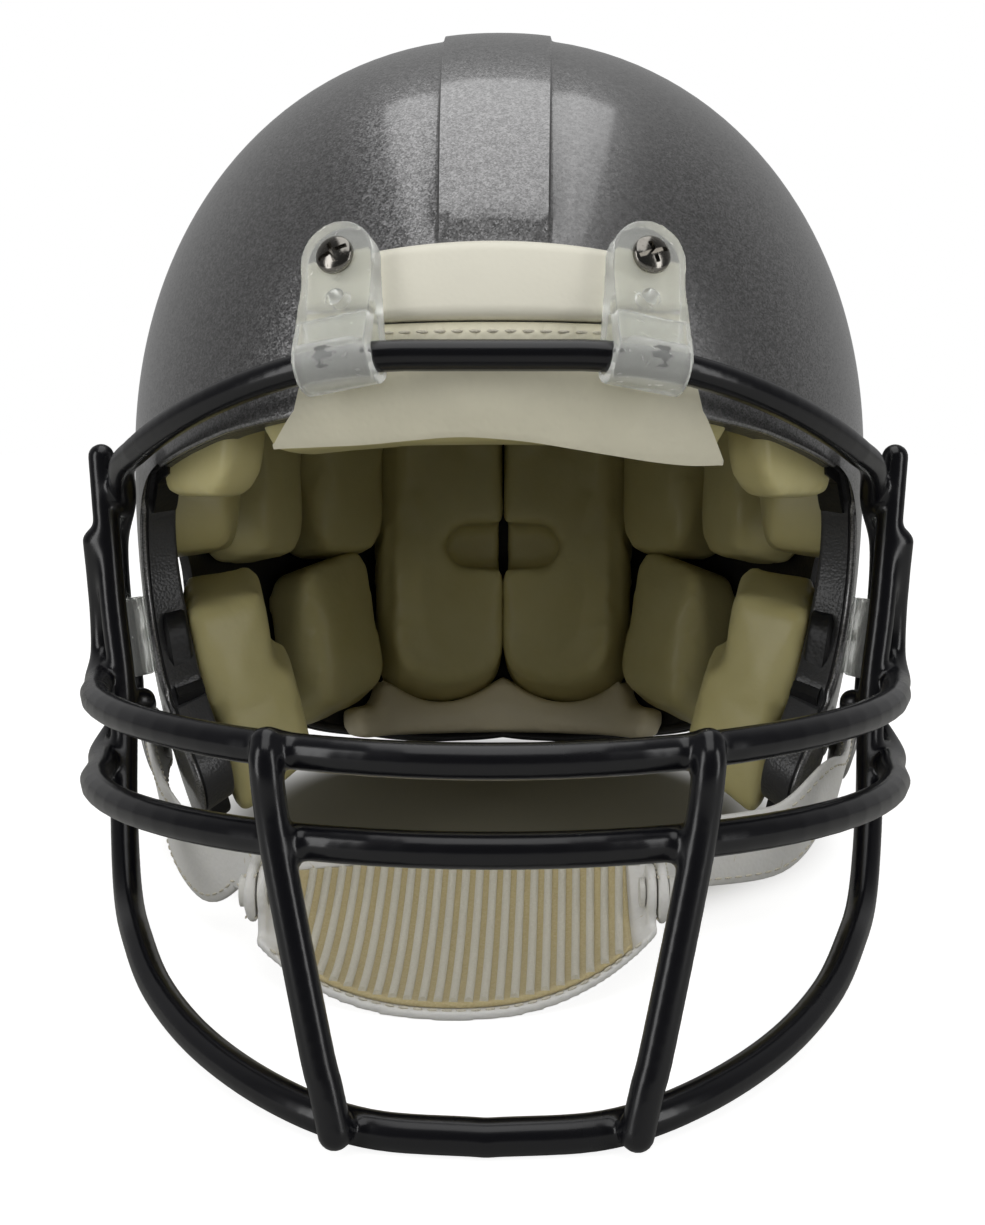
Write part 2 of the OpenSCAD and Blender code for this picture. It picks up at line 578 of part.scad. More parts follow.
// The bar's own path, clear of it by the clip's gap, between two of the path's points
module clip_bore(from, to) {
    wire([for (i = [from : to]) brow_path[i]], wire_r + clip_gap, [0, 0, 1], [0, -1], 12);
}
module top_clip() {
    along = brow_slope(top_wire_a);
    difference() {
        stand(clip_seat, clip_out, along)
            loop_clip(local(brow_point(top_wire_a), clip_seat, clip_out, along), top_clip_w, 11);
        clip_bore(0, 4);
    }
}
module side_clip() {
    difference() {
        stand(side_seat, side_out, clip_wire_t)
            loop_clip(local(clip_wire, side_seat, side_out, clip_wire_t), side_clip_w);
        clip_bore(brow_count + 10, brow_count + 20);
    }
}
module right_top_clip() {
    color("#dfe6e6") seat() top_clip();
}
module left_top_clip() {
    color("#dfe6e6") seat() mirror([1, 0, 0]) top_clip();
}
module right_side_clip() {
    color("#dfe6e6") seat() side_clip();
}
module left_side_clip() {
    color("#dfe6e6") seat() mirror([1, 0, 0]) side_clip();
}

// Face guard
module brow_bar() {
    half = concat([for (x = [-0.3, 0.5]) [brow_half + x, brow_bar_y, brow_bar_z]],
        [for (i = [1 : len(brow_path) - 1]) brow_path[i]]);
    n = len(half);
    color("#15161a") seat() {
        wire(concat([for (i = [n - 1 : -1 : 0]) flip(half[i])], half), wire_r, [0, 0, 1], [n - 1, n]);
        translate([-brow_half, brow_bar_y, brow_bar_z]) rotate([0, 90, 0])
            cylinder(r = wire_r, h = brow_bar_straight, $fn = GRADE);
    }
}
module upper_mouth_bar() {
    color("#15161a") seat() wire(whole(upper_mouth_half), wire_r, [0, 1, 0]);
}
module lower_mouth_bar() {
    color("#15161a") seat() wire(whole(lower_mouth_half), wire_r, [0, 0, 1]);
}
module jaw_bar() {
    color("#15161a") seat() wire(whole(jaw_half), wire_r, [0, 1, 0]);
}
module right_upright() {
    color("#15161a") seat() wire(upright_path, upright_r, [0, 1, 0]);
}
module left_upright() {
    color("#15161a") seat() wire([for (p = upright_path) flip(p)], upright_r, [0, 1, 0]);
}

// Liner pads: crowned blocks on the shell's inner face, each ring [size, height]
liner_off = -shell_wall - seat_gap;
pad_rings = [[0.5, 0], [0.95, 0], [1, 0.12], [0.99, 0.5], [1, 0.84], [0.97, 0.95], [0.87, 1.0], [0.45, 1.03]];
pad_crown = 1.04;
// The point a along and b up from the pad's middle, on the skin at the offset given
function pad_point(az, s, roll, a, b, off) =
    let (c = aim(az, s), e1 = [cos(az), sin(az), 0], e2 = [-sin(az) * sin(s), cos(az) * sin(s), cos(s)],
         v = (a * cos(roll) - b * sin(roll)) * e1 + (a * sin(roll) + b * cos(roll)) * e2,
         l = norm(v), g = l / norm(skin(az, s)) * 180 / PI, d = l > 0 ? c * cos(g) + v / l * sin(g) : c)
    skin(atan2(d.x, -d.y), asin(d.z), off);
function round_rect(k, n, w, h, power) =
    let (c = cos(k * 360 / n), s = sin(k * 360 / n))
    [w / 2 * sign(c) * pow(abs(c), power), h / 2 * sign(s) * pow(abs(s), power)];
module block(at, w, h, t, power, sides) {
    m = len(pad_rings);
    pts = concat(
        [for (ring = pad_rings, k = [0 : sides - 1])
            let (q = round_rect(k, sides, w * ring[0], h * ring[0], power))
            at(q.x, q.y, liner_off - t * ring[1])],
        [at(0, 0, liner_off), at(0, 0, liner_off - t * pad_crown)]);
    polyhedron(points = pts, faces = concat(
        [for (i = [0 : m - 2], k = [0 : sides - 1])
            let (a = i * sides + k, b = i * sides + (k + 1) % sides) each
            [[a, b, b + sides], [a, b + sides, a + sides]]],
        [for (k = [0 : sides - 1]) let (b = (k + 1) % sides) each
            [[m * sides, b, k], [m * sides + 1, (m - 1) * sides + k, (m - 1) * sides + b]]]));
}
module pad(az, z, w, h, t, roll = 0, power = 0.42, sides = 20) {
    block(function (a, b, off) pad_point(az, lift(z), roll, a, b, off), w, h, t, power, sides);
}
module nut_room() {
    through(nut_d / 2 + 0.6, -shell_wall - nut_t - 1.2, 0);
    through(screw_d / 2 + 0.6, -shell_wall - nut_t - 3, 0);
}
pad_color = "#d8d2ae";
module crown_pad() {
    color(pad_color) seat() difference() {
        block(function (a, b, off) pad_point(180, 84, 0, a, b, off), crown_pad_w, crown_pad_l, pad_t, 0.62, 24);
        for (v = valve_at) skin_frame(v[0], v[1]) through(valve_flange_r + 1, -20, 0);
    }
}
module forehead_pad() {
    color(pad_color) seat() difference() {
        pad(0, brow_z + 14, brow_pad_w, brow_pad_h, brow_pad_t, 0, 0.36, 28);
        both_sides() clip_screw_frame() nut_room();
    }
}
module temple_pad() {
    pad(72, 9, temple_pad_w, temple_pad_h, pad_t - 2);
}
// Share by which a rear pad's lower edge bows down at its middle
rear_tail = 0.14;
module rear_pad() {
    difference() {
        block(function (a, b, off) pad_point(180 - 13.6, lift(-6.5), 0, a,
            b < 0 ? b * (1 + rear_tail * (1 - pow(2 * a / rear_pad_w, 2))) : b, off),
            rear_pad_w, rear_pad_h, pad_t, 0.3, 24);
        for (x = [-1, 1]) translate([x * (slot_l - slot_h) / 2, rear_l, -slot_drop]) rotate([90, 0, 0])
            cylinder(d = slot_h, h = rear_l, $fn = GRADE);
        translate([-(slot_l - slot_h) / 2, 0, -slot_drop - slot_h / 2]) cube([slot_l - slot_h, rear_l, slot_h]);
        skin_frame(rear_screw_az, rear_screw_z) nut_room();
    }
}
module corner_pad() {
    pad(180 - 39, 14.5, corner_pad_w, corner_pad_h, pad_t);
}
module side_pad() {
    pad(180 - 64.5, 14.5, side_pad_w, side_pad_h, pad_t);
}
module lower_rear_pad() {
    pad(180 - 41.5, -64, low_pad_w, low_pad_h, pad_t - 2, 10);
}
module jaw_pad() {
    difference() {
        pad(66, -78.5, jaw_pad_w, jaw_pad_w, jaw_pad_t, 10);
        side_screw_frame() nut_room();
        skin_frame(stud_az, stud_z) nut_room();
    }
}
module right_temple_pad() {
    color(pad_color) seat() temple_pad();
}
module left_temple_pad() {
    color(pad_color) seat() mirror([1, 0, 0]) temple_pad();
}
module right_rear_pad() {
    color(pad_color) seat() rear_pad();
}
module left_rear_pad() {
    color(pad_color) seat() mirror([1, 0, 0]) rear_pad();
}
module right_corner_pad() {
    color(pad_color) seat() corner_pad();
}
module left_corner_pad() {
    color(pad_color) seat() mirror([1, 0, 0]) corner_pad();
}
module right_side_pad() {
    color(pad_color) seat() side_pad();
}
module left_side_pad() {
    color(pad_color) seat() mirror([1, 0, 0]) side_pad();
}
module right_lower_rear_pad() {
    color(pad_color) seat() difference() {
        lower_rear_pad();
        skin_frame(rear_stud_az, rear_stud_z) nut_room();
    }
}
module left_lower_rear_pad() {
    color(pad_color) seat() mirror([1, 0, 0]) difference() {
        lower_rear_pad();
        skin_frame(rear_stud_az, rear_stud_z) nut_room();
    }
}
module right_jaw_pad() {
    color(pad_color) seat() jaw_pad();
}
module left_jaw_pad() {
    color(pad_color) seat() mirror([1, 0, 0]) jaw_pad();
}
nape_drop = 92.8;
module nape_pad() {
    color("#e9e6dc") seat() difference() {
        block(function (a, b, off) skin_at(180 + a * 180 / PI / rear_l, b - nape_drop, off),
            nape_pad_w, nape_pad_h, nape_pad_t, 0.3, 28);
        both_sides() skin_frame(rear_screw_az, rear_screw_z) nut_room();
    }
}

// Inflation valves through the shell's rear
module air_valves() {
    color("#1b1b1d") seat() for (v = valve_at) skin_frame(v[0], v[1]) difference() {
        union() {
            translate([0, fit_gap, 0]) outward() cylinder(r = valve_flange_r, h = 1.2, $fn = GRADE);
            through(valve_r, -14, fit_gap + 0.1);
        }
        through(needle_r, -10, 12);
    }
}

// Snap studs on the shell
ball_r = 4;
ball_h = 4.4;
module stud_frames() {
    skin_frame(stud_az, stud_z) children();
    skin_frame(rear_stud_az, rear_stud_z) children();
}
module snap_studs() {
    color("#a7a7a5") seat() both_sides() stud_frames() {
        outward() rotate_extrude($fn = GRADE) polygon(concat(
            [[0, nut_seat], [screw_d / 2, nut_seat], [screw_d / 2, 0.1], [5.6, 0.1], [5.6, 0.7], [5, 1], [2.4, 1], [2.4, 1.6]],
            [for (a = [-45 : 15 : 45]) [ball_r * cos(a), ball_h + ball_r * sin(a)]],
            [[0, ball_h + ball_r * sin(45)]]));
    }
}
module stud_nuts() {
    color("#9a9a98") seat() both_sides() stud_frames() nut_here();
}

// Buckles that snap over the studs
socket_gap = 0.5;
socket_r = ball_r + socket_gap + 1.5;
module buckle() {
    difference() {
        union() {
            through(socket_r, 2.2, ball_h + 4.6);
            translate([0, ball_h + 2.8, 0]) outward() cylinder(r = 11, h = 1.8, $fn = GRADE);
        }
        through(ball_r + socket_gap, -5, ball_h + ball_r * sin(45) + socket_gap);
    }
}
module front_snap_buckles() {
    color("#8d8d8b") seat() both_sides() skin_frame(stud_az, stud_z) buckle();
}
module rear_snap_buckles() {
    color("#8d8d8b") seat() both_sides() skin_frame(rear_stud_az, rear_stud_z) buckle();
}
module buckle_hole() {
    through(socket_r + 0.3, -5, 20);
}

// Chin cup, lying open on its front lip
cup_y = front_most + rest_y + cup_back;
rivet_z = 21;
rivet_r = 2;
ear_t = 2.2;
cup_end = 8;
cup_ends = [12.5, 16];
function cup_half(p) = cup_end + (cup_l / 2 - cup_end) * pow(max(0, 1 - p * p), 0.9);
function cup_height(p, q) =
    cup_rise * pow((1 + q) / 2, 2.1) * (1 - 0.45 * p * p) + cup_ends[p < 0 ? 0 : 1] * 0.8 * pow(abs(p), 2.6);
function cup_point(p, q, up) =
    [cup_x + p * cup_w / 2, cup_y + cup_half(p) * q, cup_height(p, q) + up];
cup_cols = 20;
cup_rows = 9;
function cup_grid(q0, q1, p1, cols, rows, up) = [for (i = [0 : rows]) [for (j = [0 : cols])
    cup_point(p1 * (2 * j / cols - 1), mix(q0, q1, i / rows), up(j, i))]];
module at_rivet(side) {
    translate([cup_x + side * cup_w / 2, cup_y, rivet_z]) rotate([0, side * 90, 0]) children();
}
module chin_cup() {
    color("#eceae3") difference() {
        union() {
            slab(cup_grid(-1, 1, 1, cup_cols, cup_rows, function (j, i) 0),
                cup_grid(-1, 1, 1, cup_cols, cup_rows, function (j, i) cup_t));
            for (side = [-1, 1]) {
                at_rivet(side) translate([0, 0, -ear_t]) cylinder(r = 7, h = ear_t, $fn = GRADE);
                low = cup_height(side, -0.4) + 0.6;
                translate([cup_x + side * (cup_w - ear_t) / 2, cup_y, (low + rivet_z) / 2])
                    cube([ear_t, 12, rivet_z - low], center = true);
            }
        }
        for (side = [-1, 1]) at_rivet(side) translate([0, 0, -10]) cylinder(r = rivet_r + 0.15, h = 20, $fn = GRADE);
    }
}
lining_low = cup_t + 0.3;
module cup_lining() {
    color("#d9cda6") slab(
        cup_grid(-0.93, 0.5, 0.86, 2 * rib_count, 5, function (j, i) lining_low),
        cup_grid(-0.93, 0.5, 0.86, 2 * rib_count, 5,
            function (j, i) lining_low + (i == 0 || i == 5 ? 0.8 : lining_t - 1 + j % 2)));
}
strap_gap = 0.4;
module cup_rivets() {
    color("#cfcdc6") for (side = [-1, 1]) at_rivet(side) {
        translate([0, 0, -ear_t - strap_gap - 1.2]) cylinder(r = 3.6, h = 1.2, $fn = GRADE);
        translate([0, 0, -ear_t - strap_gap - 0.1])
            cylinder(r = rivet_r, h = ear_t + strap_t + 3 * strap_gap + 0.2, $fn = GRADE);
        translate([0, 0, strap_t + 2 * strap_gap]) cylinder(r = 4, h = 1.4, $fn = GRADE);
    }
}

// Straps from the cup's corners to the snaps
strap_off = 4.4;
function skin_up(p) = square_to([0, 0, 1], normal_at(atan2(p.x, -p.y), p.z));
// Where the left and right straps turn past the jaw flap: bearing, height and distance off the skin
strap_turns = [[[flap_az, 4 - flap_drop, 9.8], [flap_az - 9, -4 - flap_drop, 11.3]],
    [[flap_az + 2.5, 10 - flap_drop, 6.2], [flap_az - 7.5, -flap_drop, 4.6]]];
function strap_path(k) =
    let (side = 2 * k - 1, m = function (p) seated(k == 1 ? p : flip(p)),
         turn = function (q) m(over_skin(q[0], q[1], q[2])),
         end = [cup_x + side * (cup_w / 2 + strap_gap + strap_t / 2), cup_y, rivet_z],
         down = k == 1 ? 9 : 8)
    spline([m(over_skin(stud_az + 6.5, stud_z + 0.5, strap_off)), m(over_skin(stud_az, stud_z, strap_off)),
        m(over_skin(stud_az - 8, stud_z - down * 0.4, strap_off + 0.8)),
        m(over_skin(stud_az - 16, stud_z - down, strap_off + 2)), turn(strap_turns[k][0]), turn(strap_turns[k][1]),
        end + [side * 9, 19, 3], end + [side * 1.2, 9, 0], end, end + [0, -7, 0]], 3);
module strap(k) {
    p = strap_path(k);
    n = len(p);
    h = skin_up(over_skin(stud_az, stud_z, 0));
    up = seated_n(k == 1 ? h : flip(h));
    difference() {
        band(p, [for (i = [0 : n - 1]) mix(up, [0, 0, 1], ease((i - 8) / 8))],
            [for (i = [0 : n - 1]) mix(strap_w, 15, ease((i - n + 12) / 8))], strap_t);
        seat() mirror([1 - k, 0, 0]) skin_frame(stud_az, stud_z) buckle_hole();
        at_rivet(2 * k - 1) translate([0, 0, -1]) cylinder(r = rivet_r + 0.15, h = 9, $fn = GRADE);
    }
}
module right_strap() {
    color("#e9e7df") strap(1);
}
module left_strap() {
    color("#e9e7df") strap(0);
}
rear_strap_path = spline([over_skin(rear_stud_az + 8, rear_stud_z + 1, strap_off),
    over_skin(rear_stud_az, rear_stud_z, strap_off), over_skin(rear_stud_az - 9, rear_stud_z - 4, strap_off - 1),
    over_skin(100, -78, 3), over_skin(stud_az + 10, stud_z - 2, 3)], 3);
module rear_strap() {
    n = len(rear_strap_path);
    difference() {
        band(rear_strap_path, [for (p = rear_strap_path) skin_up(p)], [for (i = [0 : n - 1]) strap_w - 3], strap_t - 0.6);
        skin_frame(rear_stud_az, rear_stud_z) buckle_hole();
    }
}
module right_rear_strap() {
    color("#e9e7df") seat() rear_strap();
}
module left_rear_strap() {
    color("#e9e7df") seat() mirror([1, 0, 0]) rear_strap();
}

shell();
front_bumper();
rear_bumper();
rear_bumper_screws();
air_valves();
brow_bar();
upper_mouth_bar();
lower_mouth_bar();
jaw_bar();
left_upright();
right_upright();
left_top_clip();
right_top_clip();
left_side_clip();
right_side_clip();
top_clip_screws();
side_clip_screws();
clip_nuts();
crown_pad();
forehead_pad();
left_temple_pad();
right_temple_pad();
left_rear_pad();
right_rear_pad();
left_corner_pad();
right_corner_pad();
left_side_pad();
right_side_pad();
left_lower_rear_pad();
right_lower_rear_pad();
left_jaw_pad();
right_jaw_pad();
nape_pad();
snap_studs();
stud_nuts();
left_strap();
right_strap();
left_rear_strap();
right_rear_strap();
front_snap_buckles();
rear_snap_buckles();
chin_cup();
cup_lining();
cup_rivets();
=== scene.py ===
"""A football helmet with its wire face guard, padded liner and chin strap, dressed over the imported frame.

Lengths are in metres and angles in degrees. The shell, guard and straps follow the same rules as the
CAD part, in the helmet's own frame, whose origin is the middle of the shell's widest ring; seated()
tips that frame onto the table.
"""
import json
import math

import bmesh
import bpy
import numpy as np
from mathutils import Matrix, Vector
from mathutils.kdtree import KDTree

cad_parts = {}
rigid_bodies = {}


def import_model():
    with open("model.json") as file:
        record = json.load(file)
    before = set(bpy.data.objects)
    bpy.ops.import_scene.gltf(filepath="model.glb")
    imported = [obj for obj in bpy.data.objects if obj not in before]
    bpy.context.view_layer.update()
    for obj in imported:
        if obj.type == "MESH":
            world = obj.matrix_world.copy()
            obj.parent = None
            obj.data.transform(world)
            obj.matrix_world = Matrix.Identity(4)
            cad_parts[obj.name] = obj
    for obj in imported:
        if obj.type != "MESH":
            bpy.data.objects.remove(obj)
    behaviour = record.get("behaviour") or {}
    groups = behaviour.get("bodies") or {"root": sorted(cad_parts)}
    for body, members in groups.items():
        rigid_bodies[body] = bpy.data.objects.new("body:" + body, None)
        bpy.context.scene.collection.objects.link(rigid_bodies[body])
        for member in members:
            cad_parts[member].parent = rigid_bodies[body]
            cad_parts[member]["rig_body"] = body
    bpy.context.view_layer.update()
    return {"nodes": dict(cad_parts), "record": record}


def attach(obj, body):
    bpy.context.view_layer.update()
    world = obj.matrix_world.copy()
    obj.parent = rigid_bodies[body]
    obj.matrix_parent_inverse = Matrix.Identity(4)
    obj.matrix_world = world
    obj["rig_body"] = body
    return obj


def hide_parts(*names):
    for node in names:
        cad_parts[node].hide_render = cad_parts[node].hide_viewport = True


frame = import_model()
nodes = frame["nodes"]

# Shell
HALF_W, FRONT_L, REAR_L, CROWN_H, SKIRT_H = 0.116, 0.150, 0.130, 0.132, 0.200
SQUARENESS = 2.1
ROUND = 2 / SQUARENESS
WALL = 0.0034
RIDGE_W, RIDGE_CROWN_W, RIDGE_H = 0.025, 0.031, 0.0014
EAR_HOLE_R, EAR_HOLE_DROP = 0.018, 0.038
BROW_Z, FLAP_DROP, REAR_DROP = 0.007, 0.106, 0.1015
OPENING_AZ, FLAP_AZ = 57.5, 46.5
EDGE_U, EDGE_LEAN = 0.66, 62

# Bumpers
FIT = 0.0003
BUMPER_W, BUMPER_H, BUMPER_T = 0.092, 0.035, 0.0042
REAR_BUMPER_W, REAR_BUMPER_H = 0.104, 0.030
BUMPER_LIFT = 0.003

# Guard
WIRE_R, UPRIGHT_R = 0.0036, 0.0033
GUARD_REACH, GUARD_SIDE_IN, GUARD_SIDE_Y = 0.061, 0.004, 0.080
BROW_BAR_REACH, BROW_BAR_RISE, BROW_BAR_SAG, BROW_BAR_STRAIGHT = 0.008, 0.006, 0.021, 0.040
MOUTH_DROP, MOUTH_RISE, MOUTH_PITCH, JAW_DROP = 0.0724, 0.007, 0.0169, 0.1439
UPRIGHT_TOP, UPRIGHT_FOOT = 0.0425, 0.0285
WELD = 0.0004
GUARD_VOXEL, GUARD_FILLET = 0.00092, 0.003

# Clips, screws and snaps
CLIP_T, CLIP_GAP, PLATE_GAP, CLIP_VOXEL = 0.0028, 0.0003, 0.00025, 0.00038
TOP_CLIP_X, CLIP_SCREW_RISE = 0.033, 0.0275
SIDE_CLIP_AZ, SIDE_CLIP_Z, SIDE_CLIP_W = 76, -0.054, 0.024
SCREW_HEAD_D, SCREW_HEAD_H = 0.0092, 0.0028
REAR_SCREW_AZ, REAR_SCREW_Z = 164, 0.016 - REAR_DROP
STUD_AZ, STUD_Z, REAR_STUD_AZ, REAR_STUD_Z = 74, 0.019 - FLAP_DROP, 116, -0.066

# Liner: each pad's bearing, place above the widest ring, width, height, thickness, roll and corner
SLOT_L, SLOT_H, SLOT_DROP = 0.048, 0.018, 0.022
TEMPLE_PAD = (72, 0.009, 0.054, 0.048, 0.025, 0, 0.010)
CORNER_PAD = (141, 0.0145, 0.0465, 0.058, 0.027, 0, 0.012)
SIDE_PAD = (115.5, 0.0145, 0.0445, 0.058, 0.027, 0, 0.012)
REAR_PAD = (166.4, -0.0065, 0.0592, 0.096, 0.027, 0, 0.008)
LOW_PAD = (138.5, -0.064, 0.048, 0.044, 0.025, 10, 0.009)
JAW_PAD = (66, -0.0785, 0.050, 0.050, 0.032, 10, 0.005)
BROW_PAD = (0, BROW_Z + 0.014, 0.134, 0.050, 0.020, 0, 0.010)
BROW_WING = (39.5, 0.0085, 0.049, 0.034, 0.0165, 2, 0.011)
REAR_TAIL, JAW_BASE_T = 0.14, 0.0075
NAPE_PAD_W, NAPE_PAD_H, NAPE_PAD_T, NAPE_DROP = 0.166, 0.012, 0.015, 0.0928
PAD_VOXEL, CROWN_VOXEL, NAPE_VOXEL = 0.0026, 0.0045, 0.0022

# Chin strap
CUP_W, CUP_L, CUP_RISE, CUP_BACK, CUP_X, CUP_T = 0.098, 0.058, 0.023, 0.091, -0.009, 0.0022
CUP_END, CUP_ENDS = 0.008, (0.0125, 0.016)
RIVET_Z, RIB_COUNT, CUP_VOXEL = 0.021, 23, 0.0007
STRAP_W, STRAP_T, STRAP_GAP, STRAP_OFF = 0.020, 0.0026, 0.0004, 0.0044
STRAP_SIDES, SNAP_HOLE_R, STRAP_STITCH = 20, 0.0063, (0.0034, 0.0025, 0.0003)


# ---- The helmet's own frame ------------------------------------------------------------------

def sind(a):
    return np.sin(np.radians(a))


def cosd(a):
    return np.cos(np.radians(a))


def signed_power(x, p):
    return np.sign(x) * np.abs(x) ** p


def unit(v):
    v = np.asarray(v, float)
    return v / np.maximum(np.linalg.norm(v, axis=-1, keepdims=True), 1e-12)


def ease(t):
    t = np.clip(t, 0, 1)
    return t * t * (3 - 2 * t)


def mix(a, b, t):
    return a + (b - a) * t


def skin(az, lift, off=0.0):
    """The shell's skin at a bearing and a lift, off outside it."""
    az, lift = np.broadcast_arrays(np.asarray(az, float), np.asarray(lift, float))
    along = np.where(cosd(az) > 0, FRONT_L, REAR_L) + off
    side = HALF_W + off
    across, ahead = np.abs(sind(az)) / side, np.abs(cosd(az)) / along
    plan = (across ** SQUARENESS + ahead ** SQUARENESS) ** (-1 / SQUARENESS)
    r = plan * np.abs(cosd(lift)) ** ROUND
    tall = np.where(lift > 0, CROWN_H, SKIRT_H) + off
    return np.stack([r * sind(az), -r * cosd(az), tall * signed_power(sind(lift), ROUND)], -1)


def lift_at(z, off=0.0):
    z = np.asarray(z, float)
    tall = np.where(z > 0, CROWN_H, SKIRT_H) + off
    return np.sign(z) * np.degrees(np.arcsin(np.clip((np.abs(z) / tall) ** (1 / ROUND), 0, 1)))


def skin_at(az, z, off=0.0):
    return skin(az, lift_at(z, off), off)


def normal_at(az, z):
    """The skin's outward normal at a bearing and a height."""
    az, lift = np.asarray(az, float), lift_at(z)
    across = skin(az + 0.5, lift) - skin(az - 0.5, lift)
    return unit(np.cross(across, skin(az, lift + 0.5) - skin(az, lift - 0.5)))


def over_skin(az, z, h):
    return skin_at(az, z) + normal_at(az, z) * h


def aim(az, lift):
    return np.stack([sind(az) * cosd(lift), -cosd(az) * cosd(lift), sind(lift)], -1)


def spline(points, t):
    """A smooth curve through points, at each place of t from 0 to the last index."""
    p = np.asarray(points, float)
    p = np.vstack([2 * p[0] - p[1], p, 2 * p[-1] - p[-2]])
    t = np.atleast_1d(np.asarray(t, float))
    i = np.minimum(np.floor(t).astype(int), len(p) - 4)
    f = (t - i)[:, None]
    a, b, c, d = p[i], p[i + 1], p[i + 2], p[i + 3]
    bend, twist = 2 * a - 5 * b + 4 * c - d, 3 * b - a - 3 * c + d
    return 0.5 * (2 * b + (c - a) * f + bend * f ** 2 + twist * f ** 3)


def path_through(points, steps):
    return spline(points, np.linspace(0, len(points) - 1, (len(points) - 1) * steps + 1))


def lengths_along(path):
    """The length of a path up to each of its points."""
    return np.concatenate([[0], np.cumsum(np.linalg.norm(np.diff(path, axis=0), axis=1))])


def flip(p):
    return np.asarray(p) * [-1, 1, 1]


SHELL_EDGE = [
    (OPENING_AZ - 7.5, BROW_Z - 0.015), (OPENING_AZ - 2, -0.2 * FLAP_DROP), (OPENING_AZ, -0.4 * FLAP_DROP),
    (OPENING_AZ - 2.5, -0.6 * FLAP_DROP), (FLAP_AZ + 3, -0.77 * FLAP_DROP), (FLAP_AZ, -0.89 * FLAP_DROP),
    (FLAP_AZ + 2.5, -0.975 * FLAP_DROP), (FLAP_AZ + 8.5, -FLAP_DROP), (FLAP_AZ + 20, 0.001 - FLAP_DROP),
    (80, 0.007 - FLAP_DROP), (95, 0.014 - FLAP_DROP), (110, 0.017 - FLAP_DROP), (125, 0.012 - REAR_DROP),
    (140, 0.005 - REAR_DROP), (152, 0.0015 - REAR_DROP)]
TOP_FROM, TOP_TO = float(lift_at(BROW_Z)), 180 - float(lift_at(-REAR_DROP))


def rib(u, v, off=0.0):
    """A point of the shell: u runs from brow to rear over the crown, v from the midline to the edge."""
    u, v = np.broadcast_arrays(np.asarray(u, float), np.asarray(v, float))
    shape = u.shape
    u, v = u.ravel(), v.ravel()[:, None]
    edge = spline(SHELL_EDGE, u * (len(SHELL_EDGE) - 1))
    e = aim(edge[:, 0], lift_at(edge[:, 1]))
    a = mix(TOP_FROM, TOP_TO, u)
    m = np.stack([0 * a, -cosd(a), sind(a)], -1)
    g, lean = unit(m + e), EDGE_LEAN * sind(180 * np.minimum(u / EDGE_U, 1))
    x, y, z = g.T
    g = np.stack([x * cosd(lean) - y * sind(lean), x * sind(lean) + y * cosd(lean), z], -1)
    d = unit((1 - v) ** 2 * m + 2 * v * (1 - v) * g + v * v * e)
    az, lift = np.degrees(np.arctan2(d[:, 0], -d[:, 1])), np.degrees(np.arcsin(d[:, 2]))
    return skin(az, lift, np.broadcast_to(off, shape).ravel()).reshape(shape + (3,))


def rib_v(u, x):
    """The place v at which each rib is x from the midline."""
    v = np.full(np.shape(u), 0.1)
    for _ in range(6):
        v = v * x / rib(u, v)[..., 0]
    return v


GUARD_FRONT_Y = -(FRONT_L + GUARD_REACH)
GUARD_HALF_W = HALF_W - GUARD_SIDE_IN
BROW_BAR_Y, BROW_BAR_Z = -(FRONT_L + BROW_BAR_REACH), BROW_Z + BROW_BAR_RISE


def rest_tilt():
    """How far the helmet tips back when it rests on the jaw bar and on the shell's rear edge."""
    rear = rib(1, np.linspace(0, 1, 40))
    d = rear[:, 1:] - [GUARD_FRONT_Y, -JAW_DROP]
    slope = np.arctan2(d[:, 1], d[:, 0]) + np.arcsin(WIRE_R / np.linalg.norm(d, axis=1))
    return float(np.min(np.degrees(slope)))


TILT = rest_tilt()
BAR_MOUNT = next(m for m in frame["record"]["mounts"] if m["name"] == "brow_bar")["pos_m"]
TURN = np.array([[1, 0, 0], [0, cosd(TILT), sind(TILT)], [0, -sind(TILT), cosd(TILT)]])
SHIFT = np.array(BAR_MOUNT) - TURN @ [0, BROW_BAR_Y, BROW_BAR_Z]


def seated(p):
    return np.asarray(p) @ TURN.T + SHIFT


def seated_way(v):
    return np.asarray(v) @ TURN.T


# ---- Meshes ----------------------------------------------------------------------------------

def linked(name, data):
    """A new object in the scene."""
    obj = bpy.data.objects.new(name, data)
    bpy.context.scene.collection.objects.link(obj)
    return obj


def object_of(name, bm):
    """A new object with the faces of a bmesh, which is freed."""
    mesh = bpy.data.meshes.new(name)
    bm.to_mesh(mesh)
    bm.free()
    return linked(name, mesh)


def mesh_object(name, points, faces, slots=(), slot_of=None, smooth=True):
    mesh = bpy.data.meshes.new(name)
    mesh.from_pydata(np.asarray(points, float).tolist(), [], [list(map(int, f)) for f in faces])
    for material in slots:
        mesh.materials.append(material)
    if slot_of is not None:
        mesh.polygons.foreach_set("material_index", np.asarray(slot_of, np.int32))
    mesh.polygons.foreach_set("use_smooth", [smooth] * len(mesh.polygons))
    mesh.update()
    return linked(name, mesh)


def grid_faces(rows, cols, start=0, wrap=False, turned=False):
    """Quads of a grid of points; wrap closes each row into a ring."""
    faces = []
    for i in range(rows - 1):
        for j in range(cols if wrap else cols - 1):
            k = (j + 1) % cols
            here, above = start + i * cols, start + (i + 1) * cols
            a, b, c, d = here + j, here + k, above + k, above + j
            faces.append((a, d, c, b) if turned else (a, b, c, d))
    return faces


def loop_of(rows, cols):
    """The places round the edge of a grid."""
    return ([(0, j) for j in range(cols)] + [(i, cols - 1) for i in range(1, rows)]
            + [(rows - 1, j) for j in range(cols - 2, -1, -1)] + [(i, 0) for i in range(rows - 2, 0, -1)])


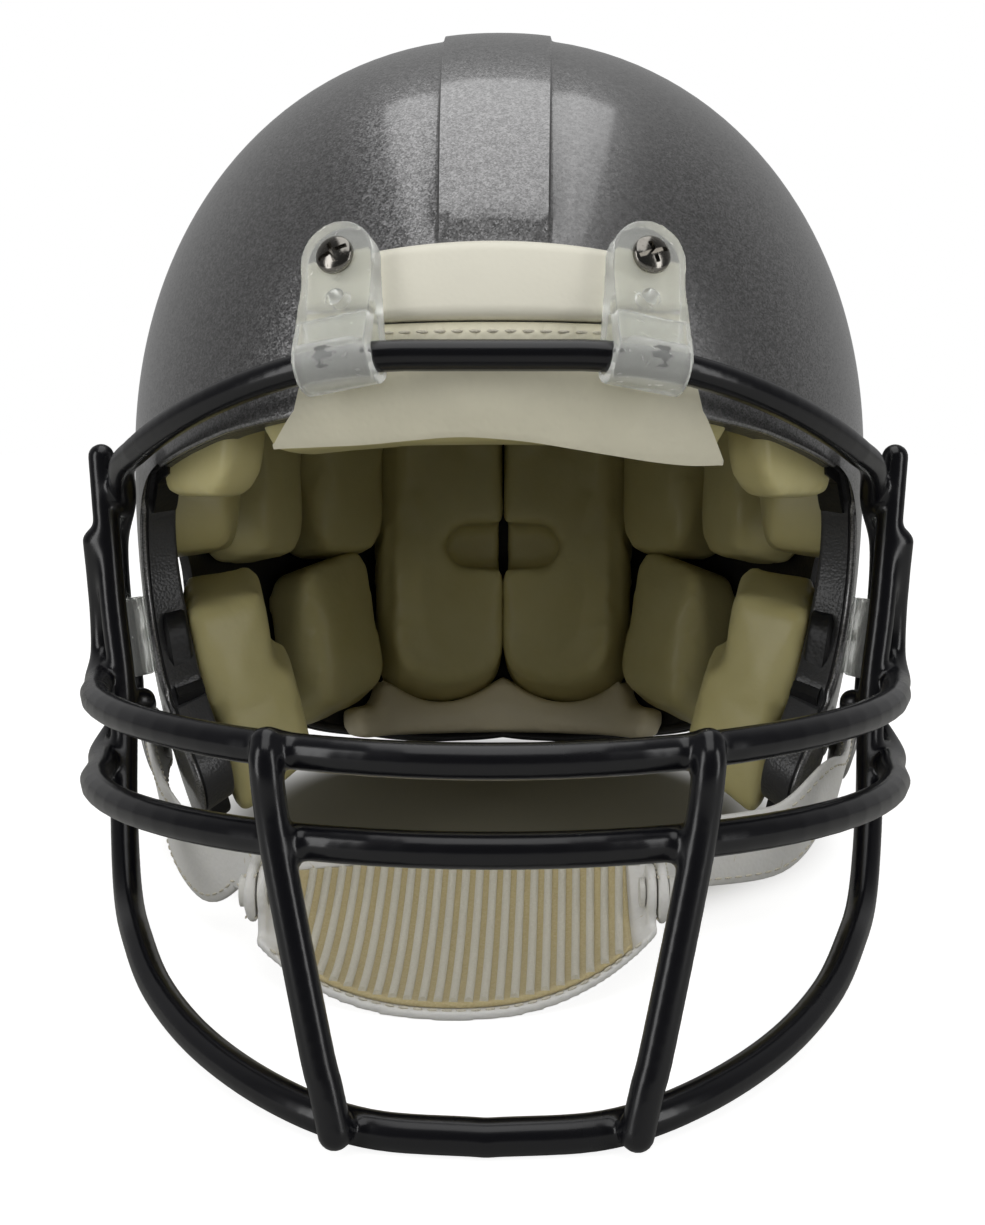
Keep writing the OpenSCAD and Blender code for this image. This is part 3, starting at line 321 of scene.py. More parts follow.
def slab(name, under, over, slots):
    """A closed sheet between two grids of points."""
    rows, cols = over.shape[:2]
    n = rows * cols
    ids = [i * cols + j for i, j in loop_of(rows, cols)]
    faces = grid_faces(rows, cols, n, turned=True) + grid_faces(rows, cols, 0)
    faces += [(ids[k], ids[k - 1], n + ids[k - 1], n + ids[k]) for k in range(len(ids))]
    obj = mesh_object(name, np.vstack([under.reshape(-1, 3), over.reshape(-1, 3)]), faces, slots)
    face_out(obj)
    return obj


def face_out(obj):
    bm = bmesh.new()
    bm.from_mesh(obj.data)
    bmesh.ops.remove_doubles(bm, verts=bm.verts, dist=1e-7)
    bmesh.ops.recalc_face_normals(bm, faces=bm.faces)
    bm.to_mesh(obj.data)
    bm.free()


def lathe(name, profile, slots, sides=48):
    """A turned piece about Z from (radius, height) pairs, from its foot up."""
    turn = np.radians(np.arange(sides) * 360 / sides)
    rings = [[(r * math.cos(a), r * math.sin(a), h) for a in turn] for r, h in profile]
    n = len(profile)
    faces = grid_faces(n, sides, wrap=True)
    faces += [tuple(reversed(range(sides))), tuple((n - 1) * sides + k for k in range(sides))]
    obj = mesh_object(name, np.reshape(rings, (-1, 3)), faces, slots)
    face_out(obj)
    return obj


def finished(obj):
    """Bakes an object's modifiers into its mesh."""
    bpy.context.view_layer.update()
    mesh = bpy.data.meshes.new_from_object(obj.evaluated_get(bpy.context.evaluated_depsgraph_get()))
    old = obj.data
    obj.modifiers.clear()
    obj.data = mesh
    bpy.data.meshes.remove(old)
    return obj


def drop(*objs):
    for o in objs:
        bpy.data.objects.remove(o)


def cut_away(obj, cutter):
    """Cuts one object's shape out of another."""
    cut = obj.modifiers.new("cut", "BOOLEAN")
    cut.operation, cut.solver, cut.object = "DIFFERENCE", "EXACT", cutter
    finished(obj)
    drop(cutter)


def copy_of(node, name):
    """A copy of a CAD node's mesh, its points merged, as a new object."""
    bm = bmesh.new()
    bm.from_mesh(nodes[node].data)
    bmesh.ops.remove_doubles(bm, verts=bm.verts, dist=1e-6)
    return object_of(name, bm)


def remesh(obj, voxel, smooth_steps=0):
    step = obj.modifiers.new("remesh", "REMESH")
    step.mode, step.voxel_size, step.use_smooth_shade = "VOXEL", voxel, True
    if smooth_steps:
        soften = obj.modifiers.new("soften", "SMOOTH")
        soften.factor, soften.iterations = 0.5, smooth_steps
    return finished(obj)


def shade_by_angle(obj, angle):
    obj.data.polygons.foreach_set("use_smooth", [True] * len(obj.data.polygons))
    obj.data.set_sharp_from_angle(angle=math.radians(angle))


def dress(obj, body, slot, material, *replaced):
    """Gives a finished piece its material and its place on a body, and hides the CAD nodes it stands for."""
    if material is not None:
        obj.data.materials.clear()
        obj.data.materials.append(material)
        obj.data.polygons.foreach_set("material_index", [0] * len(obj.data.polygons))
    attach(obj, body)
    if replaced:
        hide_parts(*replaced)
    return obj


# ---- Node trees ------------------------------------------------------------------------------

class Tree:
    """A short way to build a node tree."""

    def __init__(self, tree):
        self.tree = tree

    def add(self, kind, settings=None, **inputs):
        """Adds a node; an input goes by its name, with spaces as underscores, or by its place as i0, i1."""
        node = self.tree.nodes.new(kind)
        for key, value in (settings or {}).items():
            setattr(node, key, value)
        for key, value in inputs.items():
            by_place = key[0] == "i" and key[1:].isdigit()
            socket = node.inputs[int(key[1:]) if by_place else key.replace("_", " ")]
            if isinstance(value, bpy.types.NodeSocket):
                self.tree.links.new(value, socket)
            else:
                socket.default_value = value
        return node

    def link(self, a, b):
        self.tree.links.new(a, b)

    def math(self, operation, *values):
        inputs = {f"i{k}": value for k, value in enumerate(values)}
        return self.add("ShaderNodeMath", {"operation": operation}, **inputs).outputs[0]

    def vector(self, operation, *values):
        inputs = {f"i{k}": value for k, value in enumerate(values)}
        return self.add("ShaderNodeVectorMath", {"operation": operation}, **inputs).outputs["Vector"]

    def scaled(self, vector, factor):
        node = self.add("ShaderNodeVectorMath", {"operation": "SCALE"}, i0=vector, Scale=factor)
        return node.outputs["Vector"]

    def carried(self, value, low, high, to_low, to_high, soft=False):
        """A value carried from one range to another."""
        return self.add("ShaderNodeMapRange", {"interpolation_type": "SMOOTHSTEP" if soft else "LINEAR"},
                        Value=value, From_Min=low, From_Max=high, To_Min=to_low, To_Max=to_high).outputs[0]

    def noise(self, place, scale, **inputs):
        return self.add("ShaderNodeTexNoise", Vector=place, Scale=scale, **inputs).outputs[0]

    def place(self):
        return self.add("ShaderNodeTexCoord").outputs["Object"]


def group(name, kind, sockets):
    """A new node group, its inputs and its outputs; sockets are (name, in or out, type, default)."""
    tree = bpy.data.node_groups.new(name, kind)
    for label, way, sort, value in sockets:
        s = tree.interface.new_socket(name=label, in_out={"in": "INPUT", "out": "OUTPUT"}[way],
                                      socket_type="NodeSocket" + sort)
        if value is not None:
            s.default_value = value
    t = Tree(tree)
    return t, t.add("NodeGroupInput").outputs, t.add("NodeGroupOutput").inputs


def run_tree(obj, tree, **values):
    """Runs a geometry tree on an object, its inputs set by their names, and keeps the plain mesh."""
    step = obj.modifiers.new("made", "NODES")
    step.node_group = tree
    for item in tree.interface.items_tree:
        if item.item_type == "SOCKET" and item.in_out == "INPUT" and item.name in values:
            step[item.identifier] = values[item.name]
    return finished(obj)


def points_object(name, points, edges=()):
    """Bare points and edges, for the trees that follow them."""
    mesh = bpy.data.meshes.new(name)
    mesh.from_pydata([tuple(map(float, p)) for p in points], edges, [])
    return linked(name, mesh)


def lines_object(name, paths):
    points, edges = [], []
    for p in paths:
        edges += [(len(points) + k, len(points) + k + 1) for k in range(len(p) - 1)]
        points += list(p)
    return points_object(name, points, edges)


def surfaced(t, geometry, finish, smooth=True):
    """The end of each geometry tree: real, smooth and with its material."""
    geometry = t.add("GeometryNodeRealizeInstances", Geometry=geometry).outputs["Geometry"]
    if smooth:
        geometry = t.add("GeometryNodeSetShadeSmooth", Geometry=geometry).outputs["Geometry"]
    return t.add("GeometryNodeSetMaterial", Geometry=geometry, Material=finish).outputs["Geometry"]


def wire_tree():
    """A round wire along each polyline."""
    t, inp, out = group("Wire along a path", "GeometryNodeTree", [
        ("Path", "in", "Geometry", None), ("Radius", "in", "Float", 0.003), ("Sides", "in", "Int", 24),
        ("Finish", "in", "Material", None), ("Wire", "out", "Geometry", None)])
    curve = t.add("GeometryNodeMeshToCurve", Mesh=inp["Path"]).outputs["Curve"]
    ring = t.add("GeometryNodeCurvePrimitiveCircle", Resolution=inp["Sides"], Radius=inp["Radius"])
    tube = t.add("GeometryNodeCurveToMesh", Curve=curve, Profile_Curve=ring.outputs["Curve"], Fill_Caps=True)
    t.link(surfaced(t, tube.outputs["Mesh"], inp["Finish"]), out["Wire"])
    return t.tree


def stitch_tree():
    """Thread stitches laid at an even pitch along each polyline."""
    t, inp, out = group("Stitches along a path", "GeometryNodeTree", [
        ("Path", "in", "Geometry", None), ("Pitch", "in", "Float", 0.004), ("Stitch", "in", "Float", 0.003),
        ("Thread", "in", "Float", 0.0005), ("Finish", "in", "Material", None),
        ("Stitches", "out", "Geometry", None)])
    curve = t.add("GeometryNodeMeshToCurve", Mesh=inp["Path"]).outputs["Curve"]
    spots = t.add("GeometryNodeCurveToPoints", {"mode": "LENGTH"}, Curve=curve, Length=inp["Pitch"]).outputs
    along = t.add("FunctionNodeAlignRotationToVector", {"axis": "X"}, Vector=spots["Tangent"])
    bead = t.add("GeometryNodeMeshUVSphere", Segments=8, Rings=6, Radius=1.0).outputs["Mesh"]
    size = t.add("ShaderNodeCombineXYZ", X=t.math("MULTIPLY", inp["Stitch"], 0.5), Y=inp["Thread"],
                 Z=inp["Thread"])
    sewn = t.add("GeometryNodeInstanceOnPoints", Points=spots["Points"], Instance=bead,
                 Rotation=along.outputs["Rotation"], Scale=size.outputs["Vector"])
    t.link(surfaced(t, sewn.outputs["Instances"], inp["Finish"]), out["Stitches"])
    return t.tree


def fastener_tree():
    """One turned fastener set at each point, its Z along the point's "out" and its X by "side"."""
    t, inp, out = group("Fasteners at points", "GeometryNodeTree", [
        ("Places", "in", "Geometry", None), ("Fastener", "in", "Object", None),
        ("Finish", "in", "Material", None), ("Set", "out", "Geometry", None)])
    way, side = (t.add("GeometryNodeInputNamedAttribute", {"data_type": "FLOAT_VECTOR"}, Name=name)
                 .outputs["Attribute"] for name in ("out", "side"))
    stand = t.add("FunctionNodeAlignRotationToVector", {"axis": "Z"}, Vector=way).outputs["Rotation"]
    turn = t.add("FunctionNodeAlignRotationToVector", {"axis": "X", "pivot_axis": "Z"}, Rotation=stand,
                 Vector=side)
    shape = t.add("GeometryNodeObjectInfo", Object=inp["Fastener"]).outputs["Geometry"]
    placed = t.add("GeometryNodeInstanceOnPoints", Points=inp["Places"], Instance=shape,
                   Rotation=turn.outputs["Rotation"])
    t.link(surfaced(t, placed.outputs["Instances"], inp["Finish"], smooth=False), out["Set"])
    return t.tree


WIRE_TREE, STITCH_TREE, FASTENER_TREE = wire_tree(), stitch_tree(), fastener_tree()


def wires(name, paths, radius, sides, finish):
    return run_tree(lines_object(name, paths), WIRE_TREE, Radius=radius, Sides=sides, Finish=finish)


def stitches(name, paths, pitch, stitch, thread):
    return run_tree(lines_object(name, paths), STITCH_TREE, Pitch=pitch, Stitch=stitch, Thread=thread,
                    Finish=THREAD)


def fasteners(name, shape, places, finish):
    """Copies of shape at each (point, outward way, side way) of the helmet's frame."""
    obj = points_object(name, [seated(p) for p, _, _ in places])
    for label, k in (("out", 1), ("side", 2)):
        values = obj.data.attributes.new(label, "FLOAT_VECTOR", "POINT")
        values.data.foreach_set("vector", np.ravel([seated_way(place[k]) for place in places]))
    obj = run_tree(obj, FASTENER_TREE, Fastener=shape, Finish=finish)
    for label in ("out", "side"):
        if label in obj.data.attributes:
            obj.data.attributes.remove(obj.data.attributes[label])
    return obj


# ---- Materials -------------------------------------------------------------------------------

def flake_group():
    """Fine metal flake: a value and a normal that change from flake to flake."""
    t, inp, out = group("Metal flake", "ShaderNodeTree", [
        ("Flake Size", "in", "Float", 0.0004), ("Contrast", "in", "Float", 0.3), ("Tilt", "in", "Float", 0.2),
        ("Value", "out", "Float", None), ("Normal", "out", "Vector", None)])
    scale = t.math("DIVIDE", 1.0, inp["Flake Size"])
    cells = t.add("ShaderNodeTexVoronoi", Vector=t.place(), Scale=scale).outputs["Color"]
    level = t.add("ShaderNodeSeparateColor", Color=cells).outputs[0]
    t.link(t.math("MULTIPLY_ADD", t.math("SUBTRACT", level, 0.5), inp["Contrast"], 1.0), out["Value"])
    tilt = t.scaled(t.vector("SUBTRACT", cells, (0.5, 0.5, 0.5)), inp["Tilt"])
    flat = t.add("ShaderNodeNewGeometry").outputs["Normal"]
    t.link(t.vector("NORMALIZE", t.vector("ADD", flat, tilt)), out["Normal"])
    return t.tree


def skin_grain_group():
    """Vinyl or moulded plastic: a fine pebble height and a slow blotch of age."""
    t, inp, out = group("Moulded grain", "ShaderNodeTree", [
        ("Pebble Size", "in", "Float", 0.0012), ("Blotch Size", "in", "Float", 0.03),
        ("Height", "out", "Float", None), ("Blotch", "out", "Float", None)])
    place = t.place()
    cells = t.add("ShaderNodeTexVoronoi", {"feature": "SMOOTH_F1"}, Vector=place,
                  Scale=t.math("DIVIDE", 1.0, inp["Pebble Size"]))
    t.link(cells.outputs["Distance"], out["Height"])
    slow = t.math("DIVIDE", 1.0, inp["Blotch Size"])
    t.link(t.noise(place, slow, Detail=4.0, Roughness=0.6), out["Blotch"])
    return t.tree


def wear_group():
    """Hairline scuffs: a sparse streaked mask."""
    t, inp, out = group("Scuffs", "ShaderNodeTree", [
        ("Scuff Amount", "in", "Float", 0.5), ("Streak Size", "in", "Float", 0.02),
        ("Scuff", "out", "Float", None)])
    stretch = t.add("ShaderNodeMapping", Vector=t.place(), Rotation=(0.5, 0.35, 0.7), Scale=(1.0, 9.0, 1.0))
    streak = t.noise(stretch.outputs["Vector"], t.math("DIVIDE", 1.0, inp["Streak Size"]), Detail=6.0,
                     Roughness=0.7)
    level = t.math("SUBTRACT", 1.0, inp["Scuff Amount"])
    t.link(t.carried(streak, level, t.math("ADD", level, 0.06), 0.0, 1.0), out["Scuff"])
    return t.tree


FLAKE, GRAIN, WEAR = flake_group(), skin_grain_group(), wear_group()


def material(name, base, roughness, **sockets):
    """A Principled material; sockets are the shader's own, with spaces as underscores."""
    m = bpy.data.materials.new(name)
    m.use_nodes = True
    shader = m.node_tree.nodes["Principled BSDF"]
    shader.inputs["Base Color"].default_value = (*base, 1)
    shader.inputs["Roughness"].default_value = roughness
    for key, value in sockets.items():
        shader.inputs[key.replace("_", " ")].default_value = value
    return m, Tree(m.node_tree), shader.inputs


def grain(t, pebble, blotch):
    return t.add("ShaderNodeGroup", {"node_tree": GRAIN}, Pebble_Size=pebble, Blotch_Size=blotch).outputs


def scuffs(t, amount, streak):
    node = t.add("ShaderNodeGroup", {"node_tree": WEAR}, Scuff_Amount=amount, Streak_Size=streak)
    return node.outputs["Scuff"]


def flakes(t, size, contrast, tilt):
    return t.add("ShaderNodeGroup", {"node_tree": FLAKE}, Flake_Size=size, Contrast=contrast,
                 Tilt=tilt).outputs


def between(t, factor, a, b):
    """A colour between two, by a mask."""
    m = t.add("ShaderNodeMix", {"data_type": "RGBA"}, Factor=factor)
    for socket, value in ((m.inputs[6], a), (m.inputs[7], b)):
        if isinstance(value, bpy.types.NodeSocket):
            t.link(value, socket)
        else:
            socket.default_value = (*value, 1)
    return m.outputs[2]


def number(t, factor, a, b):
    return t.carried(factor, 0.0, 1.0, a, b)


def bump(t, s, height, strength, distance):
    b = t.add("ShaderNodeBump", Strength=strength, Distance=distance, Height=height)
    t.link(b.outputs["Normal"], s["Normal"])


def shell_paint():
    m, t, s = material("shell_paint", (0.2, 0.195, 0.195), 0.4, Metallic=0.82, Coat_Weight=1.0,
                       Coat_Roughness=0.1, Coat_IOR=1.5)
    fine, coarse = flakes(t, 0.00038, 0.7, 0.16), flakes(t, 0.0009, 0.3, 0.05)
    worn = scuffs(t, 0.285, 0.035)
    tone = t.scaled((0.235, 0.233, 0.234), t.math("MULTIPLY", fine["Value"], coarse["Value"]))
    t.link(between(t, worn, tone, (0.5, 0.5, 0.49)), s["Base Color"])
    t.link(fine["Normal"], s["Normal"])
    t.link(number(t, worn, 0.34, 0.62), s["Roughness"])
    return m


def plain_plastic(name, base, roughness, dark=0.75, pebble=0.0009, height=0.12, **sockets):
    """Moulded plastic or vinyl with a fine pebble and a slow change of tone."""
    m, t, s = material(name, base, roughness, **sockets)
    g = grain(t, pebble, 0.028)
    low, high = [c * dark for c in base], [min(1, c * (2 - dark)) for c in base]
    t.link(between(t, g["Blotch"], low, high), s["Base Color"])
    t.link(number(t, g["Blotch"], roughness * 0.8, min(1, roughness * 1.2)), s["Roughness"])
    bump(t, s, g["Height"], height, 0.0004)
    return m


def guard_vinyl():
    m, t, s = material("guard_vinyl", (0.004, 0.004, 0.006), 0.2, Specular_IOR_Level=0.5, Coat_Weight=0.2,
                       Coat_Roughness=0.14)
    g = grain(t, 0.006, 0.05)
    t.link(between(t, scuffs(t, 0.3, 0.012), (0.004, 0.004, 0.006), (0.03, 0.03, 0.032)), s["Base Color"])
    t.link(number(t, g["Blotch"], 0.16, 0.34), s["Roughness"])
    bump(t, s, g["Height"], 0.06, 0.0005)
    return m


def clear_plastic():
    m, t, s = material("clear_plastic", (0.93, 0.94, 0.9), 0.2, Transmission_Weight=0.8, IOR=1.45)
    g = grain(t, 0.004, 0.012)
    t.link(between(t, g["Blotch"], (0.87, 0.885, 0.84), (0.98, 0.985, 0.96)), s["Base Color"])
    t.link(number(t, scuffs(t, 0.34, 0.006), 0.24, 0.55), s["Roughness"])
    bump(t, s, g["Height"], 0.1, 0.0004)
    return m


def screw_steel():
    m, t, s = material("screw_steel", (0.3, 0.285, 0.26), 0.2, Metallic=1.0)
    worn = scuffs(t, 0.42, 0.0015)
    t.link(between(t, worn, (0.3, 0.285, 0.26), (0.12, 0.105, 0.09)), s["Base Color"])
    t.link(number(t, worn, 0.16, 0.45), s["Roughness"])
    return m


def pad_vinyl():
    m, t, s = material("pad_vinyl", (0.66, 0.61, 0.4), 0.34, Specular_IOR_Level=0.45, Subsurface_Weight=0.25,
                       Subsurface_Radius=(0.006, 0.005, 0.003), Subsurface_Scale=1.0)
    g = grain(t, 0.0016, 0.035)
    tone = between(t, g["Blotch"], (0.56, 0.49, 0.2), (0.72, 0.66, 0.35))
    t.link(between(t, scuffs(t, 0.3, 0.02), tone, (0.45, 0.4, 0.26)), s["Base Color"])
    t.link(number(t, g["Blotch"], 0.26, 0.44), s["Roughness"])
    bump(t, s, g["Height"], 0.1, 0.0005)
    return m


def strap_vinyl():
    m, t, s = material("strap_vinyl", (0.83, 0.82, 0.78), 0.42, Specular_IOR_Level=0.4, Subsurface_Weight=0.1,
                       Subsurface_Radius=(0.004, 0.004, 0.003), Subsurface_Scale=1.0)
    g = grain(t, 0.0011, 0.018)
    tone = between(t, g["Blotch"], (0.8, 0.785, 0.73), (0.88, 0.875, 0.85))
    t.link(between(t, scuffs(t, 0.36, 0.012), tone, (0.6, 0.53, 0.36)), s["Base Color"])
    bump(t, s, g["Height"], 0.22, 0.0005)
    return m


def lining_fabric(name, low, high):
    """Fuzzy yellowed cloth: woven threads too fine to see one by one, with pilling."""
    m, t, s = material(name, high, 0.9, Sheen_Weight=0.4, Sheen_Roughness=0.5)
    place = t.place()
    fuzz = t.noise(place, 1500.0, Detail=6.0, Roughness=0.75)
    t.link(between(t, fuzz, low, high), s["Base Color"])
    bump(t, s, t.math("ADD", fuzz, t.noise(place, 330.0, Detail=3.0)), 0.9, 0.0006)
    return m


PAINT = shell_paint()
BLACK = plain_plastic("shell_inner_plastic", (0.012, 0.012, 0.013), 0.42, pebble=0.0011, height=0.25)
BEAD = plain_plastic("shell_edge_bead", (0.05, 0.05, 0.052), 0.3, pebble=0.0007, height=0.3)
CREAM = plain_plastic("bumper_plastic", (0.87, 0.84, 0.71), 0.36, dark=0.93, pebble=0.0013, height=0.08,
                      Specular_IOR_Level=0.45)
GUARD, CLEAR, STEEL, PAD, STRAP = guard_vinyl(), clear_plastic(), screw_steel(), pad_vinyl(), strap_vinyl()
LINING = lining_fabric("lining_fabric", (0.5, 0.38, 0.14), (0.85, 0.74, 0.44))
RIB = lining_fabric("rib_fabric", (0.66, 0.61, 0.45), (0.92, 0.89, 0.78))
FLAP = plain_plastic("flap_leather", (0.85, 0.81, 0.63), 0.46, dark=0.86, pebble=0.0017, height=0.35)
NAPE = plain_plastic("nape_vinyl", (0.78, 0.7, 0.5), 0.4, dark=0.9, pebble=0.0013, height=0.2)
THREAD = plain_plastic("sewing_thread", (0.7, 0.66, 0.54), 0.8, pebble=0.0004, height=0.6)
RIVET = plain_plastic("rivet_enamel", (0.8, 0.79, 0.74), 0.34, dark=0.9, pebble=0.0009, height=0.1)
SNAP = plain_plastic("snap_metal", (0.5, 0.5, 0.49), 0.3, dark=0.85, pebble=0.002, height=0.05, Metallic=1.0)
NUT = plain_plastic("nut_steel", (0.45, 0.45, 0.44), 0.42, dark=0.8, pebble=0.0015, height=0.08, Metallic=1.0)
RUBBER = plain_plastic("valve_rubber", (0.02, 0.02, 0.021), 0.55, pebble=0.0008, height=0.3)


# ---- Shell -----------------------------------------------------------------------------------

# The rim's section, in millimetres out along the skin and in through the wall, and each run's material
RIM = [(0.3, -0.05, 0), (0.8, -0.35, 0), (1.0, -0.9, 0), (0.9, -1.35, 0), (0.25, -1.55, 1), (0.2, -2.0, 1),
       (0.8, -2.25, 2), (1.15, -2.8, 2), (1.1, -3.5, 2), (0.6, -4.1, 2), (-0.1, -4.35, 1), (-1.2, -4.3, 1),
       (-1.8, -3.9, 1)]
# How much deeper the rim's black lip runs in at the sides of the face opening
RIM_EXTRA = 0.008
# The raised band's side, in metres past its edge, and how much of its height is left there
RIDGE_SIDE = [(0.0002, 0.72), (0.0006, 0.12), (0.0013, 0.0)]


def top_place(lift):
    return (lift - TOP_FROM) / (TOP_TO - TOP_FROM)


def make_shell():
    ring_count, band_count, rib_count = 132, 5, 56
    u = np.linspace(0, 1, ring_count)
    band = mix(RIDGE_W, RIDGE_CROWN_W, ease(u / 0.4)) / 2
    inside = [rib_v(u, band * k / (band_count - 1)) if k else 0 * u for k in range(band_count)]
    step = [rib_v(u, band + past) for past, _ in RIDGE_SIDE]
    rest = [mix(step[-1], 1, k / rib_count) for k in range(1, rib_count + 1)]
    v = np.stack(inside + step + rest, 1)
    raised = np.array([1.0] * band_count + [height for _, height in RIDGE_SIDE] + [0.0] * rib_count)
    from_u = top_place(float(lift_at(BROW_Z + BUMPER_H)))
    to_u = top_place(180 - float(lift_at(BUMPER_LIFT - REAR_DROP + REAR_BUMPER_H))) - 0.012
    ridge = RIDGE_H * (ease((u - from_u) / 0.02) * ease((to_u - u) / 0.02))[:, None] * raised[None]
    half_out, half_in = rib(u[:, None], v, ridge), rib(u[:, None], v, -WALL)
    whole = [np.concatenate([flip(h[:, :0:-1]), h], 1) for h in (half_out, half_in)]
    outer, inner = whole
    rows, cols = outer.shape[:2]
    loop = loop_of(rows, cols)
    edge = np.array([outer[i, j] for i, j in loop])
    within = np.array([outer[min(max(i, 1), rows - 2), min(max(j, 1), cols - 2)] for i, j in loop])
    run = unit(np.roll(edge, -2, 0) - np.roll(edge, 2, 0))
    normal = unit(edge - np.array([inner[i, j] for i, j in loop]))
    outwards = unit(np.cross(run, normal))
    outwards *= np.sign(np.sum(outwards * (edge - within), 1))[:, None]
    for _ in range(3):
        outwards = unit(outwards + np.roll(outwards, 1, 0) + np.roll(outwards, -1, 0))
    face_side = ease((0.012 - edge[:, 2]) / 0.02) * ease((-0.012 - edge[:, 1]) / 0.02)
    deeper = (RIM_EXTRA * face_side * mix(0.8, 1, ease((-0.02 - edge[:, 2]) / 0.04)))[:, None]
    rings = [edge + outwards * out * 0.001 + normal * (inwards * 0.001 - (deeper if inwards < -2.5 else 0))
             for out, inwards, _ in RIM]
    inner_edge = edge - normal * WALL - outwards * 0.0024
    for (i, j), p in zip(loop, inner_edge):
        inner[i, j] = p
    n, count = rows * cols, len(loop)
    points = np.vstack([outer.reshape(-1, 3), inner.reshape(-1, 3), *rings])
    ids = [[i * cols + j for i, j in loop], *np.arange(2 * n, len(points)).reshape(-1, count).tolist(),
           [n + i * cols + j for i, j in loop]]
    faces = grid_faces(rows, cols, 0) + grid_faces(rows, cols, n, turned=True)
    slot_of = [0] * ((rows - 1) * (cols - 1)) + [1] * ((rows - 1) * (cols - 1))
    for k in range(len(ids) - 1):
        a, b = ids[k], ids[k + 1]
        faces += [(a[q], b[q], b[(q + 1) % count], a[(q + 1) % count]) for q in range(count)]
        slot_of += [RIM[k][2] if k < len(RIM) else 1] * count
    shell = mesh_object("helmet_shell", seated(points), faces, [PAINT, BLACK, BEAD], slot_of)
    face_out(shell)
    for side in (1, -1):
        profile = [(EAR_HOLE_R, -0.03), (EAR_HOLE_R, -0.0012), (EAR_HOLE_R + 0.0004, -0.0003),
                   (EAR_HOLE_R + 0.003, 0.0015), (EAR_HOLE_R + 0.003, 0.03)]
        cutter = lathe("ear_hole", profile, [BLACK], 72)
        middle = over_skin(90 + 2, -EAR_HOLE_DROP, 0) * [side, 0, 0] + [0, 0.004, -EAR_HOLE_DROP]
        cutter.matrix_world = (Matrix.Translation(seated(middle))
                               @ Matrix.Rotation(math.radians(-TILT), 4, "X")
                               @ Matrix.Rotation(math.radians(90 * side), 4, "Y"))
        cut_away(shell, cutter)
    shade_by_angle(shell, 42)
    return dress(shell, "helmet", "shell_paint", None, "shell")


# ---- Bumpers ---------------------------------------------------------------------------------

def bumper_grid(half_az, mid_az, z0, z1, arch, cols, rows, off, round_end=0.14):
    """Two grids over the skin: off(p, q) gives the under and over height at -1..1 across and 0..1 up."""
    p, q = np.meshgrid(np.linspace(-1, 1, cols), np.linspace(0, 1, rows))
    az = mid_az + half_az * p * (1 - round_end * np.abs(2 * q - 1) ** 4)
    z = mix(z0, z1 - arch * p * p, q)
    low, high = off(p, q)
    return skin_at(az, z, low), skin_at(az, z, high)


def pillow(p, q, edge_p=0.05, edge_q=0.12):
    """1 in the middle, falling away round at the ends and the edges."""
    side = np.clip((1 - np.abs(p)) / edge_p, 0, 1)
    rim = np.clip(np.minimum(q, 1 - q) / edge_q, 0, 1)
    return np.sqrt(np.clip(1 - (1 - side) ** 2, 0, 1)) * np.sqrt(np.clip(1 - (1 - rim) ** 2, 0, 1))


def make_front_bumper():
    half_az = math.degrees(math.asin(BUMPER_W / 2 / (FRONT_L - 0.004)))
    low_z, seam_z, top_z = BROW_Z - 0.002, BROW_Z + 0.0155, BROW_Z + BUMPER_H

    def main(p, q):
        thick = 0.0012 + (BUMPER_T - 0.0012) * pillow(p, q, 0.05, 0.16) + 0.0001 * (1 - q)
        return FIT + 0 * p, FIT + thick

    under, over = bumper_grid(half_az, 0, seam_z, top_z, 0.004, 97, 41, main)
    face = slab("front_bumper_face", seated(under), seated(over), [CREAM])
    dress(face, "helmet", "bumper_plastic", CREAM, "front_bumper")

    def lip(p, q):
        hem = 0.0011 * np.exp(-((q - 0.8) / 0.2) ** 2)
        scallop = np.abs(np.sin(np.pi * p * math.radians(half_az) * FRONT_L / 0.004))
        sewn = 0.0005 * scallop * np.exp(-((q - 0.86) / 0.08) ** 2)
        return FIT + 0 * p, FIT + 0.0011 + hem + sewn

    under, over = bumper_grid(half_az * 0.97, 0, low_z, seam_z - 0.0005, 0.0, 241, 31, lip, round_end=0.0)
    edge = slab("front_bumper_lip", seated(under), seated(over), [FLAP])
    dress(edge, "helmet", "bumper_plastic", FLAP)
    a = np.linspace(-half_az * 0.94, half_az * 0.94, 120)
    row = seated(skin_at(a, seam_z - 0.0028, FIT + 0.0024))
    sewn = stitches("front_bumper_stitches", [row], 0.0041, 0.0032, 0.00045)
    dress(sewn, "helmet", "bumper_plastic", None)


def make_rear_bumper():
    half_az = math.degrees(math.asin(REAR_BUMPER_W / 2 / REAR_L))
    z0 = BUMPER_LIFT - REAR_DROP

    def off(p, q):
        channel = 0.0008 * np.exp(-((np.abs(q - 0.5) - 0.27) / 0.035) ** 2) * ease((0.9 - np.abs(p)) / 0.1)
        return FIT + 0 * p, FIT + 0.001 + (BUMPER_T - 0.001) * pillow(p, q, 0.06, 0.16) - channel

    under, over = bumper_grid(half_az, 180, z0, z0 + REAR_BUMPER_H, 0.005, 97, 41, off)
    obj = slab("rear_bumper_pad", seated(under), seated(over), [CREAM])
    dress(obj, "helmet", "bumper_plastic", CREAM, "rear_bumper")


# ---- Face guard ------------------------------------------------------------------------------

